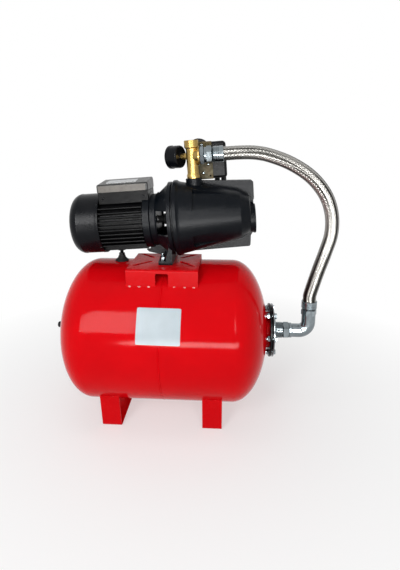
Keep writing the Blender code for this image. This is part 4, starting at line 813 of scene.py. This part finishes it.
def panelCutter(name, start, end, low, high, s):
    outer = s["radius"] + 14
    band = [(coneRadius(end) - 0.2, end), (outer, end), (outer, start),
            (coneRadius(start) - s["panelDepth"], start)]
    piece = lathe(name, band, pumpLine, 160, True)
    fan = [(0, 0)] + arc((0, 0), 130, low, high, 12)
    wedge = slab(name + "Wedge", fan, end - start + 10, pump @ spot(start - 5, 0, 0) @ alongX)
    return combine(piece, [wedge], "INTERSECT")


def makeCasing(s):
    end, length, rim, flange = s["endRadius"], s["length"], s["rim"], s["flange"]
    nose, tip = s["nose"], s["noseRadius"]
    cone = [(0, nose), (tip - 2, nose), (tip + 1.2, nose - 1.6), (end - 1.54, length + 2.5), (end, length)]
    cone += [(coneRadius(u), u) for u in (155.5, 15, 12)] + [(coneRadius(8) + 0.6, 8.5)]
    cone += [(rim - 0.4, flange + 1), (rim, flange), (rim, 1 - flange), (rim - 1, -flange), (0, -flange)]
    casing = lathe("pumpCasing", cone, pumpLine, 128)
    port, front, low, high = s["port"], s["portEnd"], *s["spine"]
    suction = pump @ spot(0, 0, -s["drop"]) @ alongX
    outlet = pump @ spot(s["outletU"], 0, 0)
    plugs = [pump @ spot(s["plugU"], 0, v) @ alongY for v in s["plugs"]]
    portProfile = [(0, 150), (port - 1, 150), (port - 1, front - 6), (port, front - 5), (port, front - 1),
                   (port - 1, front), (0, front)]
    # Each form is turned by its own small angle, so that no two edges fall together
    added = [lathe("port", portProfile, suction @ turn(1.3), 96),
             lathe("outlet", rod(s["outlet"], 55, s["outletTop"], 0.8), outlet @ turn(1.7), 80),
             slab("spine", s["outline"], high - low, pump @ spot(0, high, 0) @ againstY)]
    added += [lathe("boss", rod(s["plug"], low + 3, high + 4, 0.8), place @ turn(2.1), 48) for place in plugs]
    combine(casing, added)
    cuts = [lathe("suction", rod(s["bore"], 140, front + 2), suction @ turn(2.7), 64),
            lathe("outletHole", rod(s["outletBore"], 70, s["outletTop"] + 2), outlet @ turn(3.1), 64)]
    cuts += [panelCutter(*panel, s) for panel in s["panels"]]
    cuts += [lathe("plugHole", rod(s["plugBore"], 24, high + 6), place @ turn(0.9), 48) for place in plugs]
    combine(casing, cuts, "DIFFERENCE")
    soften(casing, s["edge"], 2, 9)
    seat(casing, "cast", "pump_casing", sharp=30)


makeCasing(casingSet)

# Motor bracket, shaft slinger and the bolts that hold the bracket to the casing
bracketSet = {"edge": 0.9, "boltCircle": 84.0, "rimBack": -17.0, "bolts": (52, 128, 232, 308), "hexagon": 7.4}
dressNode("motor_bracket", "cast", bracketSet["edge"])


def makeBracketBolts(s):
    shapes = []
    for angle in s["bolts"]:
        place = pumpLine @ turn(angle) @ spot(s["boltCircle"], 0, 0) @ turn(angle * 3)
        shapes.append(hexagon("head", s["hexagon"], s["rimBack"] - 5.6, s["rimBack"] - 0.3, place))
    seat(gather("bracketBolts", shapes), "cast")
    slinger = [(7.8, -50), (9.5, -50), (9.5, -38), (13, -36), (14, -34), (14, -31), (10, -29), (9.5, -18),
               (7.8, -18)]
    seat(lathe("shaftSlinger", slinger, pumpLine, 64, True), "rubber", body="rotor")


makeBracketBolts(bracketSet)

# Priming and drain plugs in the spine's bosses
plugSet = {"face": 42.3, "hexagon": 10.5, "washer": 11.0, "thread": 9.4,
           "plugs": (("priming_plug", "priming_screw"), ("drain_plug", "drain_screw"))}


def makePlugs(s):
    for (node, body), v in zip(s["plugs"], casingSet["plugs"]):
        place = pump @ spot(casingSet["plugU"], s["face"], v) @ alongY
        shapes = [hexagon("hexagon", s["hexagon"], 3, 9, place),
                  lathe("washer", rod(s["washer"], 0, 3.1, 0.5), place, 40),
                  lathe("thread", rod(s["thread"], -12, 0.2, 0.5), place, 32)]
        seat(gather(node.replace("_", "") + "Skin", shapes), "brass", node, body=body)


makePlugs(plugSet)

# Bolts and nuts that hold the pump foot to the console
footBoltSet = {"x": 1.0, "y": 44.0, "under": 416.2, "pad": 428.8, "hexagon": 7.2, "radius": 4.0,
               "washer": 9.0, "threads": 7, "pitch": 1.3}


def makeFootBolts(s):
    radius, under, pad = s["radius"], s["under"], s["pad"]
    top = pad + 17
    stem = [(0, under - 2), (radius, under - 2), (radius, pad + 6)]
    stem += thread(radius, radius - 0.5, pad + 7, s["pitch"], s["threads"]) + [(radius - 0.8, top), (0, top)]
    for node, side in (("pump_foot_bolt_front", -1), ("pump_foot_bolt_rear", 1)):
        place = spot(layout["tankX"] + s["x"], side * s["y"], 0)
        shapes = [hexagon("head", s["hexagon"], under - 4.5, under, place),
                  hexagon("nut", s["hexagon"], pad + 2.5, pad + 8.5, place @ turn(14)),
                  lathe("washer", rod(s["washer"], pad + 0.3, pad + 2.4, 0.4), place, 40),
                  lathe("thread", stem, place, 28)]
        seat(gather(node.replace("_", "") + "Skin", shapes), "zinc", node)


makeFootBolts(footBoltSet)
print("pump ready")

# Fan cover with its grille and four screws
coverSet = {"radius": 77.0, "end": -265.0, "open": -188.0, "round": 26.0, "wall": 1.6, "slotPitch": 12.0,
            "slotRadius": 46.0, "slotRows": 3, "screw": 3.6}


def makeFanCover(s):
    radius, end, lip, wall = s["radius"], s["end"], s["open"], s["wall"]
    turned = end + s["round"]
    centre = (radius - s["round"], turned)
    inner = arc(centre, s["round"] - wall, -90, 0, 18)
    outer = [(r - 0.7 if z > turned - 1 else r, z) for r, z in arc(centre, s["round"], 0, -90, 18)]
    profile = [(0, end + wall), *inner, (radius - wall, lip), (radius - 0.3, lip), (radius, lip - 0.4),
               (radius, lip - 7), (radius - 0.7, lip - 8.5), *outer, (0, end)]
    cover = lathe("fanCover", profile, pumpLine, 128)

    def slots(work):
        for row in range(-s["slotRows"], s["slotRows"] + 1):
            y = row * s["slotPitch"]
            reach = math.sqrt(s["slotRadius"] ** 2 - y * y)
            for low, high in ((-reach, -3), (3, reach)):
                addBlock(work, (end - 2, y - 2, low), (end + 14, y + 2, high))
    combine(cover, [newPiece("grille", slots, pump)], "DIFFERENCE")
    soften(cover, 0.5, 2, 40)
    seat(cover, "sheet", "fan_cover", sharp=30)
    screws = [screw(pumpLine @ turn(angle) @ spot(radius, 0, lip - 4) @ turn(90, "Y"), s["screw"])
              for angle in (45, 135, 225, 315)]
    seat(gather("coverScrews", screws), "sheet")


makeFanCover(coverSet)
dressNode("motor_housing", "alloy", 0.5)
dressNode("rear_shield", "alloy", 0.5)
dressNode("terminal_box", "alloy", 1.2, 3)
dressNode("terminal_lid", "lid", 0.6)

# Lid details: gasket line, a pale band of painted light on the lid's front face, bare silver plate, two small
# screws
lidSet = {"rear": -188.0, "front": -64.0, "half": 44.0, "split": 79.0, "frontHigh": 98.0, "rearHigh": 107.0,
          "plate": (76.0, 40.0, 1.5), "screws": (-176, -76), "screwV": 66.0, "screw": 3.2}


def roundedCorners(wide, high, corner, steps=5):
    half, tall = wide / 2 - corner, high / 2 - corner
    outline = []
    for x, y, start in ((half, tall, 0), (-half, tall, 90), (-half, -tall, 180), (half, -tall, 270)):
        outline += arc((x, y), corner, start, start + 90, steps)
    return outline


def makeLidDetails(s):
    rear, front, half, split, high = s["rear"], s["front"], s["half"], s["split"], s["frontHigh"]
    gasket = ((rear + 0.6, -half + 0.4, split - 1.4), (front - 0.6, half - 0.4, split + 0.4))
    seat(block("lidGasket", *gasket, pump), "rubber")
    left, right, low, top = rear + 2.5, front - 4, split + 1.6, high - 1.6
    # painted light: a pale copy of the lid paint laid on the lid's front face only
    band = slab("lidFrontPaintedLight", [(left, low), (right, low), (right, top), (left, top)], 0.5,
                pump @ spot(0, -half - 1.6, 0) @ againstY)
    seat(band, "band")
    slope = math.degrees(math.atan2(s["rearHigh"] - high - 2, 2 * half - 8))
    place = pump @ spot(-132, -41, high + 2) @ turn(slope, "X") @ spot(0, 0, 0.05)
    seat(slab("bareLidPlate", [(x, y + 33) for x, y in roundedCorners(*s["plate"])], 0.5, place), "plate")
    screws = [screw(pump @ spot(x, -half - 0.2, s["screwV"]) @ againstY, s["screw"]) for x in s["screws"]]
    seat(gather("boxScrews", screws), "sheet")


makeLidDetails(lidSet)

# Rubber foot under the motor with its adjusting screw
restSet = {"x": -113.0, "crest": 413.7, "height": 15.0, "radius": 17.5, "stem": 4.5, "stemTop": 455.0,
           "threads": 16, "pitch": 1.2, "lock": 8.0}


def makeRest(s):
    place = spot(layout["tankX"] + s["x"], 0, 0)
    low, top = s["crest"], s["crest"] + s["height"]
    radius, stem, stemTop = s["radius"], s["stem"], s["stemTop"]
    foot = [(0, low), (radius - 0.6, low), (radius, low + 0.6), (radius, low + 2.4),
            (radius - 1.2, low + 3.6), (13.5, low + 6), (10.6, low + 9), (9.2, low + 12), (8.6, top - 0.6),
            (8, top), (0, top)]
    seat(lathe("rubberFoot", foot, place, 64), "rubber", "rubber_foot", sharp=40)
    screwLine = [(0, stemTop), (stem - 0.5, stemTop)]
    screwLine += thread(stem, stem - 0.6, stemTop - 0.4, -s["pitch"], s["threads"])
    screwLine += [(stem, top + 6.4), (stem, top + 1), (0, top + 1)]
    shapes = [lathe("thread", screwLine, place, 32), hexagon("lock", s["lock"], top + 0.3, top + 6.3, place)]
    seat(gather("footScrew", shapes), "sheet", "motor_foot_screw", body="motor_foot")


makeRest(restSet)
print("motor ready")

# Brass fitting on the outlet with its collar, hose port and two small ports
fittingSet = {"radius": 14.5, "collar": 17.8, "collarLow": 172.0, "top": 190.0, "bore": 11.5, "portV": 152.0,
              "portEnd": 66.0, "port": 23.5, "small": 8.5, "reach": 19.0, "u": 47.0, "base": 97.8,
              "gaugeTurn": 25.0, "threads": 7, "pitch": 2.2}


def makeFitting(s):
    radius, base, bore = s["radius"], s["base"], s["bore"]
    collar, shelf, top = s["collar"], s["collarLow"], s["top"]
    place = pump @ spot(s["u"], 0, 0)
    body = [(0, base), (radius + 1.5, base), (radius + 1.8, base + 1), (radius + 1.8, base + 8),
            (radius + 0.4, base + 11), (radius, base + 13), (radius, shelf - 4), (radius + 0.8, shelf - 1.6),
            (collar - 0.6, shelf), (collar, shelf + 1), (collar, top - 1.2), (collar - 1, top), (0, top)]
    fitting = lathe("brassFitting", body, place, 96)
    centre = place @ spot(0, 0, s["portV"])
    port, reach = s["port"], s["portEnd"] - s["u"]
    gaugeWay = centre @ turn(180 - s["gaugeTurn"]) @ alongX
    portProfile = [(0, 2), (radius + 0.5, 2), (radius + 2, 5), (port - 1.5, reach - 5), (port, reach - 4),
                   (port, reach - 0.8), (port - 0.8, reach), (0, reach)]
    added = [lathe("hosePort", portProfile, centre @ alongX @ turn(1.9), 80),
             lathe("gaugePort", rod(s["small"], 0, s["reach"], 0.6), gaugeWay @ turn(2.3), 48),
             lathe("switchPort", rod(s["small"], 0, s["reach"] + 4, 0.6), centre @ alongY @ turn(3.3), 48)]
    combine(fitting, added)
    run = [(0, base - 2), (bore, base - 2), (bore, top - 17)]
    run += thread(bore + 0.9, bore, top - 16, s["pitch"], s["threads"])  # in the open top
    run += [(bore + 2.2, top + 0.5), (bore + 2.2, top + 2), (0, top + 2)]
    cuts = [lathe("run", run, place @ turn(2.9), 72),
            lathe("side", rod(bore - 1.5, 0, reach + 2), centre @ alongX @ turn(4.1), 56)]
    combine(fitting, cuts, "DIFFERENCE")
    soften(fitting, 0.6, 2, 30)
    seat(fitting, "brass", "five_way_fitting", sharp=30)
    return gaugeWay, centre


gaugeWay, fittingCentre = makeFitting(fittingSet)

# Pressure gauge: drum case, dial with plain numbers, hand and window
gaugeSet = {"back": 31.0, "depth": 32.0, "radius": 29.0, "sweep": 270.0, "numbers": (0, 2, 4, 6, 8, 10),
            "numberSize": 4.0, "numberRadius": 13.2, "tickRadius": 20.4,
            "hand": [(-9, 1.6), (-7, 2.0), (-4, 0.9), (0, 1.3), (4, 1.0), (21, 0.25)]}


def makeGauge(s, place):
    back, front, radius = s["back"], s["back"] + s["depth"], s["radius"]
    case = [(0, back), (9, back), (9.6, back + 0.6), (21, back + 0.6), (radius - 4.5, back + 0.2),
            (radius - 2, back + 1.6), (radius - 1, back + 4), (radius - 1, front - 9),
            (radius - 0.8, front - 8), (radius, front - 7.4), (radius, front - 1), (radius - 0.8, front),
            (radius - 3.4, front), (radius - 4, front - 0.6), (radius - 4, front - 2.4),
            (radius - 2.6, front - 3.1), (radius - 2.6, back + 5), (radius - 5, back + 1.7), (0, back + 1.7)]
    seat(lathe("gaugeCase", case, place, 112), "sheet", "gauge_case", sharp=30)
    stem = [hexagon("stemHex", 7.4, 21.5, 29.5, place), lathe("stemEnd", rod(5.6, 19.3, 31, 0.3), place, 40)]
    seat(gather("gaugeStem", stem), "brass", "gauge_stem")
    face = front - 9
    dial = [(2.0, face), (radius - 4.1, face), (radius - 4.1, face - 1), (6, face - 1), (6, back + 2),
            (2.0, back + 2)]
    seat(lathe("gaugeDial", dial, place, 96, True), "white", "gauge_dial")
    window = [(0, front - 5.4), (radius - 3, front - 5.4), (radius - 3, front - 3.4), (8, front - 3.0),
              (0, front - 2.9)]
    seat(lathe("gaugeWindow", window, place, 96), "clear", "gauge_window")
    hand = [(x, -y) for x, y in s["hand"]] + s["hand"][::-1]
    hub = [(0, face - 6), (1.5, face - 6), (1.5, face + 0.7), (2.6, face + 0.8), (2.6, face + 1.6),
           (1.8, face + 2), (0, face + 2)]
    shapes = [slab("hand", hand, 0.6, place @ spot(0, 0, face + 0.7)), lathe("hub", hub, place, 32)]
    seat(gather("gaugeHand", shapes), "ink", "gauge_pointer", body="gauge_hand")
    marks = []
    last, edge = s["numbers"][-1], s["tickRadius"]
    for i in range(last * 5 + 1):
        long, thick = (3.4, 0.28) if i % 5 == 0 else (1.8, 0.14)
        tickPlace = place @ turn(-s["sweep"] * i / (last * 5)) @ spot(0, 0, face)
        marks.append(block("tick", (edge - long, -thick, 0), (edge, thick, 0.12), tickPlace))
    for value in s["numbers"]:
        angle = -s["sweep"] * value / last
        upright = turn(angle) @ spot(s["numberRadius"], 0, face) @ turn(-angle) @ turn(-135)
        marks.append(dialNumber(str(value), place @ upright, s["numberSize"]))
    seat(gather("dialMarks", marks), "ink")


def dialNumber(words, place, size):
    curve = bpy.data.curves.new("number", "FONT")
    curve.body = words
    curve.size = size * mm
    curve.extrude = 0.06 * mm
    curve.align_x = "CENTER"
    curve.align_y = "CENTER"
    item = addObject("number", curve)
    bpy.context.view_layer.update()
    data = bpy.data.meshes.new_from_object(item.evaluated_get(bpy.context.evaluated_depsgraph_get()))
    bpy.data.objects.remove(item, do_unlink=True)
    return addObject("number", data, place)


makeGauge(gaugeSet, gaugeWay)

# Nipple and union nut between the fitting and the hose
unionSet = {"start": 66.3, "nipple": 24.5, "pipe": 15.0, "root": 14.2, "bore": 11.6, "threads": 4,
            "pitch": 2.4, "nut": 22.5}


def makeUnion(s):
    place = pump @ spot(0, 0, fittingSet["portV"]) @ alongX
    low, pipe, root, bore = s["start"], s["pipe"], s["root"], s["bore"]
    tube = [(bore, low), (pipe, low), (pipe, low + 10.5)]
    tube += thread(pipe, root, low + 11, s["pitch"], s["threads"]) + [(root, low + 22), (bore, low + 22)]
    shapes = [hexagon("collar", s["nipple"], low, low + 11, place @ turn(30), 11.5),
              lathe("pipe", tube, place, 64, True)]
    seat(gather("hoseNipple", shapes), "zinc", "hose_nipple")
    start = low + 11.3
    collar = [(15.6, start), (18.4, start), (19, start + 0.6), (19, start + 4.4), (15.6, start + 4.4)]
    seatRing = [(10, start + 15), (15.6, start + 15), (15.6, start + 18.6), (10, start + 18.6)]
    shapes = [lathe("ring", collar, place, 64, True),
              hexagon("nut", s["nut"], start + 4, start + 19, place @ turn(12), 15.5),
              lathe("seatRing", seatRing, place, 48, True)]
    seat(gather("hoseNut", shapes), "zinc", "hose_nut", body="hose_union")


makeUnion(unionSet)

# Pressure switch: yellow plate, black cover, its screws and cable glands
switchSet = {"plateY": 42.0, "thick": 3.0, "rear": 44.0, "plateFront": 95.0, "front": 131.0, "low": 90.0,
             "high": 184.0, "depth": 50.0, "arch": (61.0, 166.0, 28.0), "glands": (104, 121),
             "holes": ((51, 98), (88, 98), (51, 183)),
             "screws": ((70, 176, 4.2), (84, 128, 3.6), (60, 128, 3.0), (70, 106, 4.2)), "coverScrew": 4.6}


def makeSwitch(s):
    near, rear, front, low, high = s["plateY"], s["rear"], s["front"], s["low"], s["high"]
    inner, outer = near + s["thick"] + 0.3, near + s["thick"] + 0.3 + s["depth"]
    plate = block("switchPlate", (rear, near, low), (s["plateFront"], near + s["thick"], high + 1), pump)
    holes = [lathe("hole", rod(2.2, -6, 6), pump @ spot(u, near, v) @ alongY, 24) for u, v in s["holes"]]
    combine(plate, holes, "DIFFERENCE")
    seat(soften(plate, 0.7), "yellow", "switch_base")
    screws = [screw(pump @ spot(u, near - 0.6, v) @ againstY, radius) for u, v, radius in s["screws"]]
    seat(gather("switchScrews", screws), "zinc")
    nipple = [hexagon("nippleHex", 8.8, 33.7, 41.7, fittingCentre @ alongY),
              lathe("nipplePipe", rod(6.4, 23.3, 34, 0.3), fittingCentre @ alongY, 40)]
    seat(gather("switchNipple", nipple), "zinc", "switch_nipple")
    cover = soften(block("switchCover", (rear, inner, low), (front, outer, high), pump), 9, 6, 40)
    archU, archV, archRadius = s["arch"]
    arch = rod(archRadius, inner + 2, inner + 34, 2.5)
    combine(cover, [lathe("arch", arch, pump @ spot(archU, 0, archV) @ alongY, 96)])
    room = block("room", (rear + 6, inner - 2, low + 6), (s["plateFront"] - 2, outer - 5, high - 8), pump)
    groove = block("groove", (rear - 2, inner + 13, low - 2), (front + 2, inner + 13.8, high + 2), pump)
    core = block("core", (rear + 0.6, inner + 12, low + 0.6), (front - 0.6, inner + 15, high - 0.6), pump)
    combine(cover, [room, combine(groove, [core], "DIFFERENCE")], "DIFFERENCE")
    shapes = [cover]
    for u in s["glands"]:
        place = pump @ spot(u, inner + 27, low)
        end = [(3.2, -15), (5.2, -15), (6, -13.6), (6, -7), (3.2, -7)]
        shapes += [hexagon("gland", 7, -8, 3, place), lathe("glandEnd", end, place, 40, True)]
    seat(gather("switchCoverSkin", shapes), "plastic", "switch_cover", sharp=26)
    place = pump @ spot((rear + front) / 2, outer, high - 18) @ alongY
    seat(gather("coverScrew", [screw(place, s["coverScrew"])]), "steel")


makeSwitch(switchSet)
dressNode("cable_gland", "plastic", 0.4)
dressNode("air_valve_stem", "brass", 0.3)
dressNode("fan", "plastic", 0.3)
dressNode("shaft", "steel", 0.4)
print("fittings, gauge and switch ready")

# Floor, world and lamps: a pale studio at a plain level. A sheen lamp lights reflections only, a dull one
# everything but them
keyPlan = {"aim": (-100, 0, 350), "size": (560, 1500)}
sidePlan = {"aim": (0, 0, 350), "size": (330, 1000)}
studioSet = {"floor": (0.88, 0.88, 0.88), "bounce": (0.40, 0.40, 0.40), "floorSize": 8.0, "worldFill": 0.38,
             "fade": (0.25, 1.0, 0.5, 1.0), "lamps": {
    "keyLamp": {**keyPlan, "place": (-800, -2300, 1500), "power": 32},
    "keySheen": {**keyPlan, "place": (-800, -2290, 1500), "power": 34, "sheen": True},
    "sideLamp": {**sidePlan, "place": (700, -2400, 1500), "power": 14},
    "sideSheen": {**sidePlan, "place": (700, -2390, 1500), "power": 12, "sheen": True},
    "frontSheen": {"place": (350, -2300, 170), "aim": (0, 0, 400), "size": (2000, 290), "power": 86,
                   "sheen": True},
    "topLamp": {"place": (-100, -450, 2200), "aim": (0, 0, 450), "size": (1300, 400), "power": 4,
                "dull": True}}}
white = (1.0, 1.0, 1.0)


def makeFloor(s):
    floor = newPiece("floor", lambda work: bmesh.ops.create_grid(work, x_segments=1, y_segments=1,
                                                                 size=s["floorSize"]))
    finish = Finish("paleFloor", "white", s["floor"], 0.9)
    finish.set("Base Color", finish.mix(finish.onCamera(), s["bounce"], s["floor"]))
    gap = finish.node("ShaderNodeVectorMath", {"operation": "LENGTH"}, {0: finish.place()}, "Value")
    glow = finish.node("ShaderNodeEmission", {}, {"Color": white, "Strength": 1.0})
    lit = Wire(finish, finish.shader.outputs[0])
    blend = finish.node("ShaderNodeMixShader", {}, {0: finish.spread(gap, *s["fade"]), 1: lit, 2: glow})
    finish.feed(finish.tree.nodes["Material Output"].inputs["Surface"], blend)
    floor.data.materials.append(finish.material)


def makeWorld(s):
    world = bpy.data.worlds.new("studio")
    world.use_nodes = True
    bpy.context.scene.world = world
    board = Board(world.node_tree)
    back = board.tree.nodes["Background"]
    board.feed(back.inputs["Color"], white)
    board.feed(back.inputs["Strength"], board.spread(board.onCamera(), 0, 1, s["worldFill"], 1.0))


def makeLamps(s):
    for name, lamp in s["lamps"].items():
        data = bpy.data.lights.new(name, "AREA")
        data.shape = "RECTANGLE"
        data.size, data.size_y = (length * mm for length in lamp["size"])
        data.energy = lamp["power"]
        item = addObject(name, data)
        ahead = Vector(lamp["aim"]) - Vector(lamp["place"])
        item.location = Vector(lamp["place"]) * mm
        item.rotation_euler = ahead.to_track_quat("-Z", "Y").to_euler()
        item.visible_diffuse = not lamp.get("sheen", False)
        item.visible_glossy = not lamp.get("dull", False)


makeFloor(studioSet)
makeWorld(studioSet)
makeLamps(studioSet)
bpy.context.scene.view_settings.view_transform = "Standard"
print("studio ready")
